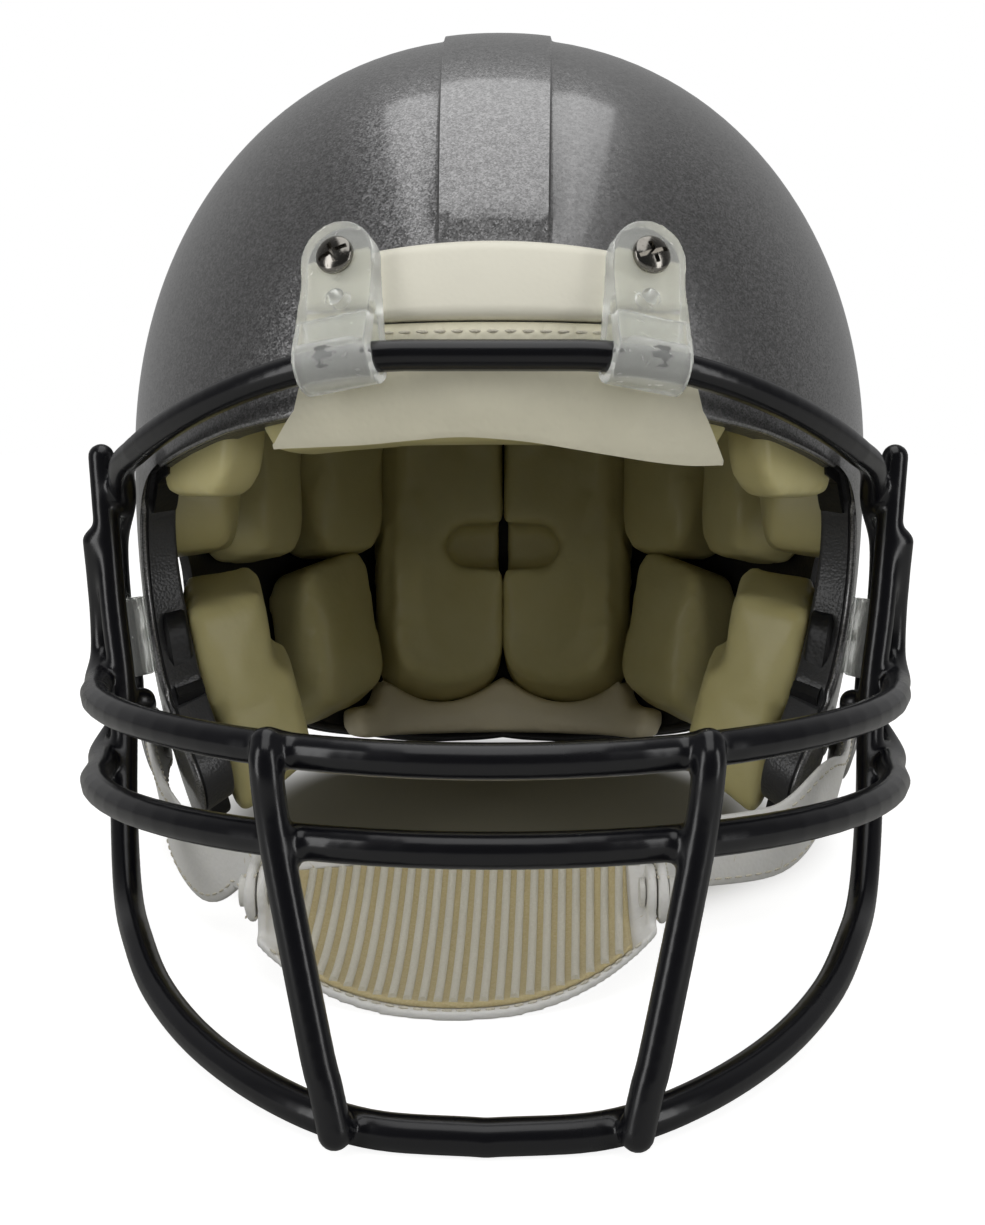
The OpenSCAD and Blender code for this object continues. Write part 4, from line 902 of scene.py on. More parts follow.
def guard_paths():
    """The guard's wires in the helmet's frame, front to back on the right."""
    half = BROW_BAR_STRAIGHT / 2
    vertical_x, touch = GUARD_HALF_W - 0.008, 2 * WIRE_R - WELD
    side_z, side_y = -MOUTH_DROP, -GUARD_SIDE_Y
    bow_w, bow_y = GUARD_HALF_W - 0.006, side_y - 0.004
    corner = np.array([GUARD_HALF_W - 0.0065, side_y - 0.004, BROW_BAR_Z - BROW_BAR_SAG])

    def brow(a):
        return np.stack([mix(half, corner[0], sind(a)), mix(corner[1], BROW_BAR_Y, np.abs(cosd(a)) ** 1.6),
                         mix(BROW_BAR_Z, corner[2], sind(a) ** 1.7)], -1)

    side_out = normal_at(SIDE_CLIP_AZ, SIDE_CLIP_Z)
    clip = over_skin(67, SIDE_CLIP_Z, WIRE_R + CLIP_GAP + CLIP_T + FIT)
    down = unit(np.array([0, 0, -1]) - (np.array([0, 0, -1]) @ side_out) * side_out)
    end, bend_r, bend_to = clip + down * SIDE_CLIP_W / 2, 0.008, unit([-0.4, -0.9, 0])
    side = path_through([
        brow(60), brow(74), corner + [0.001, 0.007, -0.007], [clip[0] - 0.001, clip[1] - 0.013, -0.026],
        clip - down * SIDE_CLIP_W / 2, clip, end,
        end + bend_r * (bend_to * (1 - cosd(45)) - [0, 0, sind(45)]),
        end + bend_r * (bend_to - [0, 0, 1]), end + 0.023 * bend_to - [0, 0, bend_r - 0.001],
        [vertical_x - 0.0038, side_y - 0.0005, side_z + 0.001]], 8)
    brow_half = np.vstack([[[0, BROW_BAR_Y, BROW_BAR_Z]], brow(np.arange(0, 57, 3.0)), side])

    def mouth(a, z, rise):
        y = bow_y + (GUARD_FRONT_Y - bow_y) * cosd(a)
        return np.stack([bow_w * sind(a), y, z + rise * sind(a) ** 2], -1)

    out = vertical_x + touch
    top = side_z + MOUTH_RISE
    upper = np.vstack([mouth(np.arange(0, 68, 4.0), side_z, MOUTH_RISE), path_through([
        mouth(72, side_z, MOUTH_RISE), [out - 0.003, side_y - 0.017, top - 0.0003],
        [out + 0.0006, side_y - 0.005, top + 0.0006],
        [out + 0.0016, side_y + 0.0035, top + 0.007], [out + 0.0019, side_y + 0.004, top + 0.018],
        [out + 0.002, side_y + 0.0014, top + 0.029], [out + 0.0024, side_y - 0.0006, top + 0.039]], 8)])
    low_z = side_z - MOUTH_PITCH
    lower = np.vstack([mouth(np.arange(0, 68, 4.0), low_z, 0.002), path_through([
        mouth(71, low_z, 0.002), [out - 0.006, side_y - 0.024, low_z + 0.0024],
        [out - 0.002, side_y - 0.010, low_z + 0.004], [out - 0.002, side_y - 0.001, low_z + 0.0075],
        [vertical_x + 0.002, side_y + 0.0024, low_z + 0.0125]], 8)])
    foot, front = -JAW_DROP, GUARD_FRONT_Y
    jaw = path_through([
        [0, front, foot], [0.023, front + 0.003, foot + 0.0005], [0.042, front + 0.0135, foot + 0.003],
        [0.061, front + 0.033, foot + 0.0066], [0.076, front + 0.054, foot + 0.012],
        [0.086, front + 0.073, foot + 0.019], [vertical_x - 0.010, side_y - 0.038, foot + 0.0265],
        [vertical_x - 0.004, side_y - 0.020, side_z - 0.025],
        [vertical_x, side_y - 0.006, side_z + 0.002], [vertical_x + 0.004, side_y - 0.0025, side_z + 0.030],
        [vertical_x + 0.0076, side_y - 0.0006, corner[2] + 0.0054]], 8)
    ahead = bow_y + (front - bow_y) * math.sqrt(1 - (UPRIGHT_TOP / bow_w) ** 2) - (WIRE_R + UPRIGHT_R - WELD)
    low_x = UPRIGHT_TOP - 0.002
    upright = path_through([
        [UPRIGHT_TOP + 0.0003, ahead + 0.002, side_z + 0.0026], [UPRIGHT_TOP, ahead, side_z - 0.002],
        [low_x, ahead, low_z], [mix(UPRIGHT_FOOT, low_x, 0.34), front - 0.0004, (low_z + foot) / 2 - 0.009],
        [mix(UPRIGHT_FOOT, low_x, 0.16), front - 0.0014, foot + 0.010],
        [UPRIGHT_FOOT, front - 0.0018, foot + 0.0015]], 8)
    return brow_half, upper, lower, jaw, upright


def nearest(a, b):
    """The middle of the closest points of two paths."""
    d = np.linalg.norm(a[:, None] - b[None], axis=2)
    i, j = np.unravel_index(np.argmin(d), d.shape)
    return (a[i] + b[j]) / 2


def even_wires(guard, lines, fillet):
    """Sets each point of the guard at its wire's radius, with a fillet where two wires meet."""
    axis_step, furthest = 0.0003, 0.001
    trees = []
    for path, radius in lines:
        s = lengths_along(path)
        even = np.linspace(0, s[-1], int(s[-1] / axis_step))
        axis = np.stack([np.interp(even, s, path[:, k]) for k in range(3)], 1)
        tree = KDTree(len(axis))
        for i, p in enumerate(axis):
            tree.insert(p, i)
        tree.balance()
        trees.append((tree, axis, radius))
    at = np.array([v.co for v in guard.data.vertices])
    for _ in range(3):
        points, ways, gaps = at.tolist(), [], []
        for tree, axis, radius in trees:
            away = at - axis[[tree.find(p)[1] for p in points]]
            far = np.linalg.norm(away, axis=1)
            ways.append(away / far[:, None])
            gaps.append(far - radius)
        gaps, ways = np.array(gaps), np.array(ways)
        first, second = np.argsort(gaps, axis=0)[:2]
        every = np.arange(len(at))
        near, next_near = gaps[first, every], gaps[second, every]
        h = np.clip(1 - (next_near - near) / fillet, 0, 1)
        way = ways[first, every] * (1 - h / 2)[:, None] + ways[second, every] * (h / 2)[:, None]
        at = at - unit(way) * np.clip(near - fillet * h * h / 4, -furthest, furthest)[:, None]
    guard.data.vertices.foreach_set("co", at.ravel())
    guard.data.update()


def make_guard():
    brow, upper, lower, jaw, upright = guard_paths()
    pieces, lines = [], [(seated(upright), UPRIGHT_R), (seated(flip(upright)), UPRIGHT_R)]
    for name, half in (("brow", brow), ("upper", upper), ("lower", lower), ("jaw", jaw)):
        path = np.vstack([flip(half[:0:-1]), half])
        pieces.append(wires("guard_" + name, [seated(path)], WIRE_R, 24, GUARD))
        lines.append((seated(path), WIRE_R))
    pieces.append(wires("guard_uprights", [seated(upright), seated(flip(upright))], UPRIGHT_R, 24, GUARD))
    welds = [nearest(upright, upper), nearest(upright, lower), nearest(upright, jaw), nearest(upper, jaw),
             nearest(lower, jaw), nearest(brow[brow[:, 2] > -0.03], jaw), brow[-1], upper[-1], lower[-1],
             jaw[-1], upright[0], upright[-1]]
    bm = bmesh.new()
    for p in pieces:
        bm.from_mesh(p.data)
    for w in welds:
        for side in (1, -1):
            where = Matrix.Translation(Vector(seated(w * [side, 1, 1])))
            bmesh.ops.create_icosphere(bm, subdivisions=3, radius=UPRIGHT_R, matrix=where)
    guard = object_of("face_guard", bm)
    drop(*pieces)
    remesh(guard, GUARD_VOXEL, 4)
    even_wires(guard, lines, GUARD_FILLET)
    dress(guard, "helmet", "guard_vinyl", GUARD, "brow_bar", "upper_mouth_bar", "lower_mouth_bar", "jaw_bar",
          "left_upright", "right_upright")


# ---- Clips and fasteners ---------------------------------------------------------------------

def make_clips():
    for node in ("left_top_clip", "right_top_clip", "left_side_clip", "right_side_clip"):
        clip = copy_of(node, node + "_loop")
        remesh(clip, CLIP_VOXEL, 4)
        dress(clip, "helmet", "clear_plastic", CLEAR, node)


def screw_shape():
    """A domed pan head with a combined cross and slot recess, on a short shank."""
    r, h = SCREW_HEAD_D / 2, SCREW_HEAD_H
    dome = [(r * sind(a), 0.45 * h + 0.55 * h * cosd(a)) for a in range(90, -1, -9)]
    shank = [(0.0021, -0.006), (0.0021, 0), (r * 0.94, 0), (r, 0.18 * h)]
    head = lathe("screw_head", shank + dome[1:-1] + [(0.0002, h)], [STEEL], 64)
    for turn, length in ((0, 1.62 * r), (90, 1.15 * r)):
        bm = bmesh.new()
        bmesh.ops.create_cube(bm, size=1.0, matrix=Matrix.Translation((0, 0, h)) @ Matrix.Rotation(
            math.radians(turn), 4, "Z") @ Matrix.Diagonal((length, 0.0011, 0.003, 1)))
        cut_away(head, object_of("recess", bm))
    shade_by_angle(head, 35)
    return head


def bearing_at_x(x, z):
    """The bearing at which the skin of the brow is x from the midline."""
    az, radius = 15.0, 0.14
    for _ in range(8):
        az += math.degrees((x - float(skin_at(az, z)[0])) / radius)
    return az


def both(places):
    """Each place and its mirror image on the other side."""
    return [place for p, n, s in places for place in ((p, n, s), (flip(p), flip(n), s))]


# The snap buckle's section: radius and height over the skin
SNAP_CAP = [(0.0058, 0.0022), (0.006, 0.0068), (0.0102, 0.0069), (0.0109, 0.0072), (0.0111, 0.0078),
            (0.0108, 0.0084), (0.0099, 0.0087), (0.0088, 0.0084), (0.0078, 0.0083), (0.0066, 0.0089),
            (0.0048, 0.0094), (0.0025, 0.0097), (0.0002, 0.0098)]


def make_fasteners():
    screw = screw_shape()
    plate_half = CLIP_T + PLATE_GAP
    top_seat = BUMPER_T + 2 * FIT + 2 * plate_half - 0.0006
    side_seat = FIT + 2 * plate_half - 0.0006
    z = BROW_Z + CLIP_SCREW_RISE
    az = bearing_at_x(TOP_CLIP_X, z)
    rows = [("top_clip_screws", az, z, top_seat, (0.9, 0, 0.35)),
            ("side_clip_screws", SIDE_CLIP_AZ, SIDE_CLIP_Z, side_seat, (0.2, 0.6, 0.8)),
            ("rear_bumper_screws", REAR_SCREW_AZ, REAR_SCREW_Z, BUMPER_T + 2 * FIT, (0.8, 0, 0.5))]
    for node, bearing, height, seat, side in rows:
        n = normal_at(bearing, height)
        places = both([(over_skin(bearing, height, 0) + n * seat, n, np.array(side))])
        placed = fasteners(node + "_domed", screw, places, STEEL)
        dress(placed, "helmet", "screw_steel", STEEL, node)
    drop(screw)
    cap = lathe("snap_cap", SNAP_CAP, [SNAP], 64)
    for node, bearing, height in (("front_snap_buckles", STUD_AZ, STUD_Z),
                                  ("rear_snap_buckles", REAR_STUD_AZ, REAR_STUD_Z)):
        places = both([(skin_at(bearing, height), normal_at(bearing, height), np.array((0, 0, 1.0)))])
        placed = fasteners(node + "_caps", cap, places, SNAP)
        dress(placed, nodes[node]["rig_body"], "snap_metal", SNAP, node)
    drop(cap)


# ---- Liner -----------------------------------------------------------------------------------

def inflate(obj, pressure, frames, cap):
    """Blows a closed mesh up as cloth and keeps how far each point moved, up to cap."""
    scene = bpy.context.scene
    before = np.array([v.co for v in obj.data.vertices])
    cloth = obj.modifiers.new("cloth", "CLOTH")
    c = cloth.settings
    c.quality, c.mass, c.use_pressure, c.uniform_pressure_force = 6, 0.25, True, pressure
    c.tension_stiffness = c.compression_stiffness = c.shear_stiffness = 18
    c.bending_stiffness = 0.6
    c.effector_weights.gravity = 0
    cloth.collision_settings.use_collision = False
    scene.frame_start, scene.frame_end = 1, frames
    cloth.point_cache.frame_start, cloth.point_cache.frame_end = 1, frames
    for f in range(1, frames + 1):
        scene.frame_set(f)
    moved = finished(obj)
    scene.frame_set(1)
    after = np.array([v.co for v in moved.data.vertices])
    d = after - before
    length = np.linalg.norm(d, axis=1, keepdims=True)
    d *= np.minimum(1, cap / np.maximum(length, 1e-9))
    moved.data.vertices.foreach_set("co", (before + d).ravel())
    moved.data.update()
    return moved


LINER_OFF = -WALL - 0.0005


def pad_point(az, lift, roll, a, b, off):
    """The point a across and b up from a pad's middle, on the skin at the offset given."""
    c = aim(az, lift)
    e1 = np.array([cosd(az), sind(az), 0])
    e2 = np.array([-sind(az) * sind(lift), cosd(az) * sind(lift), cosd(lift)])
    v = (a * cosd(roll) - b * sind(roll))[..., None] * e1 + (a * sind(roll) + b * cosd(roll))[..., None] * e2
    length = np.linalg.norm(v, axis=-1, keepdims=True)
    g = length / np.linalg.norm(skin(az, lift))
    d = c * np.cos(g) + v / np.maximum(length, 1e-9) * np.sin(g)
    return skin(np.degrees(np.arctan2(d[..., 0], -d[..., 1])), np.degrees(np.arcsin(d[..., 2])), off)


def round_rect(w, h, corner, count=120):
    """Points evenly round a rectangle with round corners."""
    corner = min(corner, w / 2 - 1e-4, h / 2 - 1e-4)
    turn = np.radians(np.arange(0, 91, 7.5))
    arc = np.stack([np.cos(turn), np.sin(turn)], 1) * corner
    a, b, quarter = w / 2 - corner, h / 2 - corner, np.array([[0, -1], [1, 0]])
    pts = np.vstack([arc @ np.linalg.matrix_power(quarter, k).T + end
                     for k, end in enumerate([(a, b), (-a, b), (-a, -b), (a, -b)])])
    pts = np.vstack([pts, pts[:1]])
    s = lengths_along(pts)
    even = np.arange(count) * s[-1] / count
    return np.stack([np.interp(even, s, pts[:, k]) for k in (0, 1)], 1)


def pad_block(name, at, w, h, t0, t1, corner, slots, edge=0.0042):
    """A crowned block between two depths under the skin; at(a, b, off) places its points."""
    bend = np.radians([0, 22.5, 45, 67.5, 90])
    rings = [(0.3 * min(w, h), t0), (0.0015, t0), (0, t0 + 0.001)]
    rings += [(0, mix(t0 + 0.001, t1 - edge, k / 6)) for k in range(1, 6)]
    rings += [(edge * (1 - math.cos(b)), t1 - edge + edge * math.sin(b)) for b in bend]
    rings += [(mix(edge, 0.42 * min(w, h), k), t1 + 0.0007 * k) for k in (0.3, 0.6, 0.85, 1.0)]
    base = round_rect(w, h, corner)
    points, n = [], len(base)
    for inset, depth in rings:
        a, b = base[:, 0] * (1 - 2 * inset / w), base[:, 1] * (1 - 2 * inset / h)
        points.append(at(a, b, LINER_OFF - depth))
    faces = grid_faces(len(rings), n, wrap=True)
    faces += [tuple(reversed(range(n))), tuple((len(rings) - 1) * n + k for k in range(n))]
    obj = mesh_object(name, seated(np.vstack(points)), faces, slots)
    face_out(obj)
    return obj


def plump(pad, voxel, smooth_steps, cap, pressure=4.0):
    """Rounds a block by an even mesh and blows it up a little as cloth."""
    remesh(pad, voxel, smooth_steps)
    inflate(pad, pressure, 20, cap)
    round_off = pad.modifiers.new("round", "SUBSURF")
    round_off.levels = round_off.render_levels = 1
    finished(pad)
    shade_by_angle(pad, 180)


def twin_of(pad, name):
    twin = linked(name, pad.data.copy())
    twin.data.transform(Matrix.Scale(-1, 4, (1, 0, 0)))
    twin.data.flip_normals()
    return twin


def cushion(part, spec, bend=None, shape=None, t0=0.0, cap=0.0018, both_sides=True):
    """A liner pad by its rule, and its mirror image on the other side."""
    az, z, w, h, t, roll, corner = spec
    lift = float(lift_at(z))

    def at(a, b, off):
        if bend:
            a, b, off = bend(a, b, off)
        return pad_point(az, lift, roll, a, b, off)

    name = part.replace("pad", "cushion")
    right = "right_" if both_sides else ""
    pad = pad_block(right + name, at, w, h, t0, t, corner, [PAD])
    if shape:
        shape(pad)
    plump(pad, PAD_VOXEL, 3, cap)
    made = [(pad, right + part)] + ([(twin_of(pad, "left_" + name), "left_" + part)] if both_sides else [])
    for obj, node in made:
        dress(obj, "helmet", "pad_vinyl", PAD, node)


def cut_slot(pad):
    """The long slot between the two rear pads, which leaves a thin floor of foam."""
    reach, floor_y = 0.05, REAR_L - WALL - 0.009
    turn = np.radians(np.arange(-90, 91, 10))
    half = np.stack([(SLOT_L - SLOT_H) / 2 + SLOT_H / 2 * np.cos(turn), SLOT_H / 2 * np.sin(turn)], 1)
    ring = np.vstack([half, -half])
    n = len(ring)
    points = [(x, y, z - SLOT_DROP) for y in (floor_y - reach, floor_y) for x, z in ring]
    faces = [tuple(range(n)), tuple(n + k for k in reversed(range(n)))] + grid_faces(2, n, wrap=True)
    cutter = mesh_object("slot", seated(points), faces)
    face_out(cutter)
    cut_away(pad, cutter)


def make_liner():
    crown = copy_of("crown_pad", "crown_cushion")
    plump(crown, CROWN_VOXEL, 4, 0.0025)
    dress(crown, "helmet", "pad_vinyl", PAD, "crown_pad")
    cushion("forehead_pad", BROW_PAD, both_sides=False)
    cushion("temple_pad", TEMPLE_PAD)
    cushion("corner_pad", CORNER_PAD)
    cushion("side_pad", SIDE_PAD)
    cushion("lower_rear_pad", LOW_PAD)

    def rear_tail(a, b, off):
        return a, np.where(b < 0, b * (1 + REAR_TAIL * (1 - (2 * a / REAR_PAD[2]) ** 2)), b), off

    cushion("rear_pad", REAR_PAD, shape=cut_slot, bend=rear_tail)

    def jaw_step(a, b, off):
        deep = ease((-off - JAW_BASE_T) / 0.012) * ease((0.004 - b) / 0.004)
        return a * (1 + 0.1 * ease(-b / 0.02)), b * np.where(b < 0, 1.1, 1), off - 0.0055 * deep

    cushion("jaw_pad", JAW_PAD, bend=jaw_step, t0=JAW_BASE_T)
    az, z, w, h, _, roll, corner = JAW_PAD
    lift = float(lift_at(z))
    base = pad_block("right_jaw_pad_base", lambda a, b, off: pad_point(az, lift, roll, a, b, off), w - 0.001,
                     h - 0.001, 0, JAW_BASE_T - 0.0003, corner, [BLACK], edge=0.0012)
    shade_by_angle(base, 40)
    for obj in (base, twin_of(base, "left_jaw_pad_base")):
        dress(obj, "helmet", "pad_vinyl", BLACK)

    arc = math.radians(13.6) * REAR_L

    def nape(a, b, off):
        over = np.clip((np.abs(a) - arc) / (REAR_PAD[2] / 2), -1, 1) ** 2 * ease((0.069 - np.abs(a)) / 0.007)
        z = -NAPE_DROP + b + 0.0105 * over * np.clip(b / NAPE_PAD_H + 0.5, 0, 1)
        return skin_at(180 + np.degrees(a / REAR_L), z, off)

    band = pad_block("nape_cushion", nape, NAPE_PAD_W, NAPE_PAD_H, 0, NAPE_PAD_T, 0.004, [NAPE], edge=0.003)
    plump(band, NAPE_VOXEL, 3, 0.0012)
    dress(band, "helmet", "nape_vinyl", NAPE, "nape_pad")


def make_brow_wings():
    """The forehead pad's padded ends, which show past the flap on both sides."""
    az, z, w, h, t, roll, corner = BROW_WING

    def beside(a, b, off):
        return pad_point(az, float(lift_at(z)), roll, a, b, off)

    wing = pad_block("right_brow_wing", beside, w, h, 0.0, t, corner, [PAD], edge=0.005)
    plump(wing, PAD_VOXEL, 4, 0.0018)
    for obj in (wing, twin_of(wing, "left_brow_wing")):
        dress(obj, "helmet", "pad_vinyl", PAD)


# The flap's lower edge: place across from -1 to 1, and height; then the length tucked in behind it
FLAP_EDGE = [(-1, -0.0052), (-0.82, -0.0054), (-0.55, -0.0054), (-0.15, -0.0037), (0.1, -0.0048),
             (0.4, -0.0074), (0.65, -0.0092), (0.85, -0.0097), (1, -0.0088)]
FLAP_TUCK, FLAP_T = 0.018, 0.001


def make_brow_flap():
    """The vinyl flap from under the bumper, which turns in below the shell's edge over the forehead pad."""
    cols, front, back = 97, 22, 12
    p = np.linspace(-1, 1, cols)
    low = np.interp(p, *np.transpose(FLAP_EDGE))
    low = np.convolve(np.pad(low, 4, "edge"), np.ones(9) / 9, "valid")
    grid = []
    under_lip = BROW_Z - 0.0045
    for k in range(cols):
        z = low[k]
        over = spline([(0.0016, BROW_Z + 0.004), (0.0019, BROW_Z - 0.001), (0.0013, under_lip),
                       (0.0, mix(under_lip, z, 0.5)), (-0.0016, z)], np.linspace(0, 4, front))
        tucked = [(mix(-0.0019, -FLAP_TUCK, t), z + 0.0003 + 0.008 * t) for t in np.linspace(0, 1, back)]
        pts = np.vstack([over, tucked])
        half_az = np.interp(np.arange(len(pts)), [0, front * 0.45, front - 1, front + 2, len(pts)],
                            [18.3, 19.2, 22.6, 22.8, 22.0])
        grid.append([skin_at(p[k] * w + 0.5, height, off) for w, (off, height) in zip(half_az, pts)])
    grid = np.array(grid).transpose(1, 0, 2)
    flap = mesh_object("brow_flap", seated(grid.reshape(-1, 3)), grid_faces(len(grid), cols), [FLAP])
    face_out(flap)
    thick = flap.modifiers.new("thickness", "SOLIDIFY")
    thick.thickness, thick.offset = FLAP_T, 0
    finished(flap)
    shade_by_angle(flap, 50)
    dress(flap, "helmet", "nape_vinyl", FLAP)
    make_brow_wings()


# ---- Chin strap ------------------------------------------------------------------------------

# The guard's foremost point in the frame, from which the cup's middle is measured
FOREMOST_Y = -0.1826
CUP_Y = FOREMOST_Y + CUP_BACK


def cup_point(p, q, up=0.0):
    """A point of the cup's upper face: p across from -1 to 1, q from the front lip to the rear rim."""
    p, q = np.asarray(p, float), np.asarray(q, float)
    half = CUP_END + (CUP_L / 2 - CUP_END) * np.maximum(0, 1 - p * p) ** 0.9
    end = np.where(p < 0, CUP_ENDS[0], CUP_ENDS[1])
    z = CUP_RISE * ((1 + q) / 2) ** 2.1 * (1 - 0.45 * p * p) + end * 0.8 * np.abs(p) ** 2.6
    return np.stack([CUP_X + p * CUP_W / 2, CUP_Y + half * q, z + up], -1)


def cup_sheet(name, p0, p1, q0, q1, low, high, cols, rows, slots):
    p, q = np.meshgrid(np.linspace(p0, p1, cols), np.linspace(q0, q1, rows))
    return slab(name, cup_point(p, q, low(p, q)), cup_point(p, q, high(p, q)), slots)


def make_cup():
    body = nodes["chin_cup"]["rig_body"]
    cup = cup_sheet("chin_cup_shell", -1, 1, -1, 1, lambda p, q: 0 * p, lambda p, q: CUP_T + 0 * p, 121, 61,
                    [STRAP])
    ears = []
    for side in (-1, 1):
        ear = lathe("ear", [(0.0066, 0), (0.007, 0.0004), (0.007, 0.0018), (0.0066, 0.0022)], [STRAP], 48)
        ear.data.transform(Matrix.Translation((CUP_X + side * CUP_W / 2, CUP_Y, RIVET_Z))
                           @ Matrix.Rotation(math.radians(-90 * side), 4, "Y"))
        ears.append(ear)
    bm = bmesh.new()
    for o in [cup] + ears:
        bm.from_mesh(o.data)
    for side in (-1, 1):
        low = float(cup_point(side, -0.4)[2]) + 0.0006
        box = bmesh.ops.create_cube(bm, size=1.0)["verts"]
        bmesh.ops.scale(bm, vec=(CUP_T, 0.012, RIVET_Z - low), verts=box)
        place = (CUP_X + side * (CUP_W - CUP_T) / 2, CUP_Y, (low + RIVET_Z) / 2)
        bmesh.ops.translate(bm, vec=place, verts=box)
    bm.to_mesh(cup.data)
    bm.free()
    drop(*ears)
    remesh(cup, CUP_VOXEL, 3)
    dress(cup, body, "strap_vinyl", STRAP, "chin_cup")

    base = CUP_T + 0.0003
    lining = cup_sheet("cup_lining_cloth", -0.87, 0.87, -0.93, 0.8, lambda p, q: base + 0 * p,
                       lambda p, q: base + 0.0011 - 0.0004 * (np.abs(q + 0.065) > 0.84), 93, 49, [LINING])
    dress(lining, nodes["cup_lining"]["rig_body"], "lining_fabric", LINING, "cup_lining")
    ribs = []
    for k in range(RIB_COUNT):
        p = mix(-0.84, 0.84, (k + 0.5) / RIB_COUNT)
        q = np.linspace(-0.9, 0.77, 28)
        ribs.append(cup_point(np.clip(p + 0.02 * (q - q[0]), -0.85, 0.85), q, base + 0.00115))
    ribbing = wires("cup_lining_ribs", ribs, 0.00105, 10, RIB)
    dress(ribbing, nodes["cup_lining"]["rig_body"], "lining_fabric", None)

    def hem(p, q):
        return CUP_T + 0.0003 + 0.0012 * np.sqrt(np.clip(1 - ((q - 0.9125) / 0.085) ** 2, 0, 1))

    rear_band = cup_sheet("cup_rear_band", -0.94, 0.94, 0.83, 0.995, lambda p, q: CUP_T - 0.0002 + 0 * p, hem,
                          121, 15, [STRAP])
    dress(rear_band, body, "strap_vinyl", STRAP)
    p = np.linspace(-0.9, 0.9, 160)
    rows = [cup_point(p, -0.965 + 0 * p, CUP_T + 0.0002)]
    sewn = stitches("cup_stitches", rows, 0.0033, 0.0024, 0.00035)
    dress(sewn, body, "strap_vinyl", None)


# Where the left and right straps turn past the jaw flap: bearing, height and distance off the skin
STRAP_TURNS = [[(FLAP_AZ, 0.004 - FLAP_DROP, 0.0098), (FLAP_AZ - 9, -0.004 - FLAP_DROP, 0.0113)],
               [(FLAP_AZ + 2.5, 0.010 - FLAP_DROP, 0.0062), (FLAP_AZ - 7.5, -FLAP_DROP, 0.0046)]]


def skin_up(p):
    n = normal_at(math.degrees(math.atan2(p[0], -p[1])), p[2])
    return unit(np.array([0, 0, 1]) - n[2] * n)


def ribbon(name, path, ups, widths, thickness):
    """A flat strap with rounded edges along a path; ups is the way of its width at each point."""
    path = np.asarray(path)
    run = unit(np.gradient(path, axis=0))
    up = unit(ups - np.sum(ups * run, 1)[:, None] * run)
    out = np.cross(run, up)
    sides, n = STRAP_SIDES, len(path)
    turn = np.radians(np.arange(sides) * 360 / sides)
    across = signed_power(np.cos(turn), 0.35)[None, :, None] / 2 * widths[:, None, None]
    through = signed_power(np.sin(turn), 0.75)[None, :, None] / 2 * thickness
    rings = path[:, None] + up[:, None] * across + out[:, None] * through
    faces = grid_faces(n, sides, wrap=True)
    faces += [tuple(range(sides)), tuple((n - 1) * sides + k for k in reversed(range(sides)))]
    obj = mesh_object(name, rings.reshape(-1, 3), faces, [STRAP])
    face_out(obj)
    return obj, up, out


def punch(obj, middle, way, radius):
    """Cuts a round hole through a strap."""
    cutter = lathe("punch", [(radius, -0.02), (radius, 0.02)], [STRAP], 40)
    turned = Vector(way).to_track_quat("Z", "Y").to_matrix().to_4x4()
    cutter.data.transform(Matrix.Translation(Vector(middle)) @ turned)
    cut_away(obj, cutter)


def strap_path(k):
    """From the snap over the shell to the rivet on the cup; k is 1 for the right strap, 0 for the left."""
    side, down = 2 * k - 1, 0.009 if k else 0.008

    def m(p):
        return seated(p if k else flip(p))

    end = np.array([CUP_X + side * (CUP_W / 2 + STRAP_GAP + STRAP_T / 2), CUP_Y, RIVET_Z])
    points = [m(over_skin(STUD_AZ + 6.5, STUD_Z + 0.0005, STRAP_OFF)),
              m(over_skin(STUD_AZ, STUD_Z, STRAP_OFF)),
              m(over_skin(STUD_AZ - 8, STUD_Z - down * 0.4, STRAP_OFF + 0.0008)),
              m(over_skin(STUD_AZ - 16, STUD_Z - down, STRAP_OFF + 0.002)),
              *[m(over_skin(*turn)) for turn in STRAP_TURNS[k]],
              end + [side * 0.009, 0.019, 0.003], end + [side * 0.0012, 0.009, 0], end, end + [0, -0.007, 0]]
    return path_through(points, 10)


def round_tips(widths, path, first, last):
    """Narrows a strap's width to round ends of the two lengths."""
    s = lengths_along(path)
    a, b = np.clip(s / first, 0, 1), np.clip((s[-1] - s) / last, 0, 1)
    return widths * np.maximum(np.sqrt(1 - (1 - a) ** 2), 0.25) * np.maximum(np.sqrt(1 - (1 - b) ** 2), 0.25)


def make_strap(node, path, ups, widths, thickness, hole, way, inset, sewn_part):
    """A strap with its snap hole punched and a row of stitches along each edge, front and back."""
    band, up, out = ribbon(node + "_band", path, ups, widths[1], thickness)
    punch(band, hole, way, SNAP_HOLE_R)
    dress(band, nodes[node]["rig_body"], "strap_vinyl", STRAP, node)
    edge = (widths[0] / 2 - inset)[:, None]
    part = slice(*sewn_part)
    rows = [path[part] + up[part] * edge[part] * s + out[part] * thickness / 2 * w
            for s in (1, -1) for w in (1, -1)]
    sewn = stitches(node + "_stitches", rows, *STRAP_STITCH)
    dress(sewn, nodes[node]["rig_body"], "strap_vinyl", None)


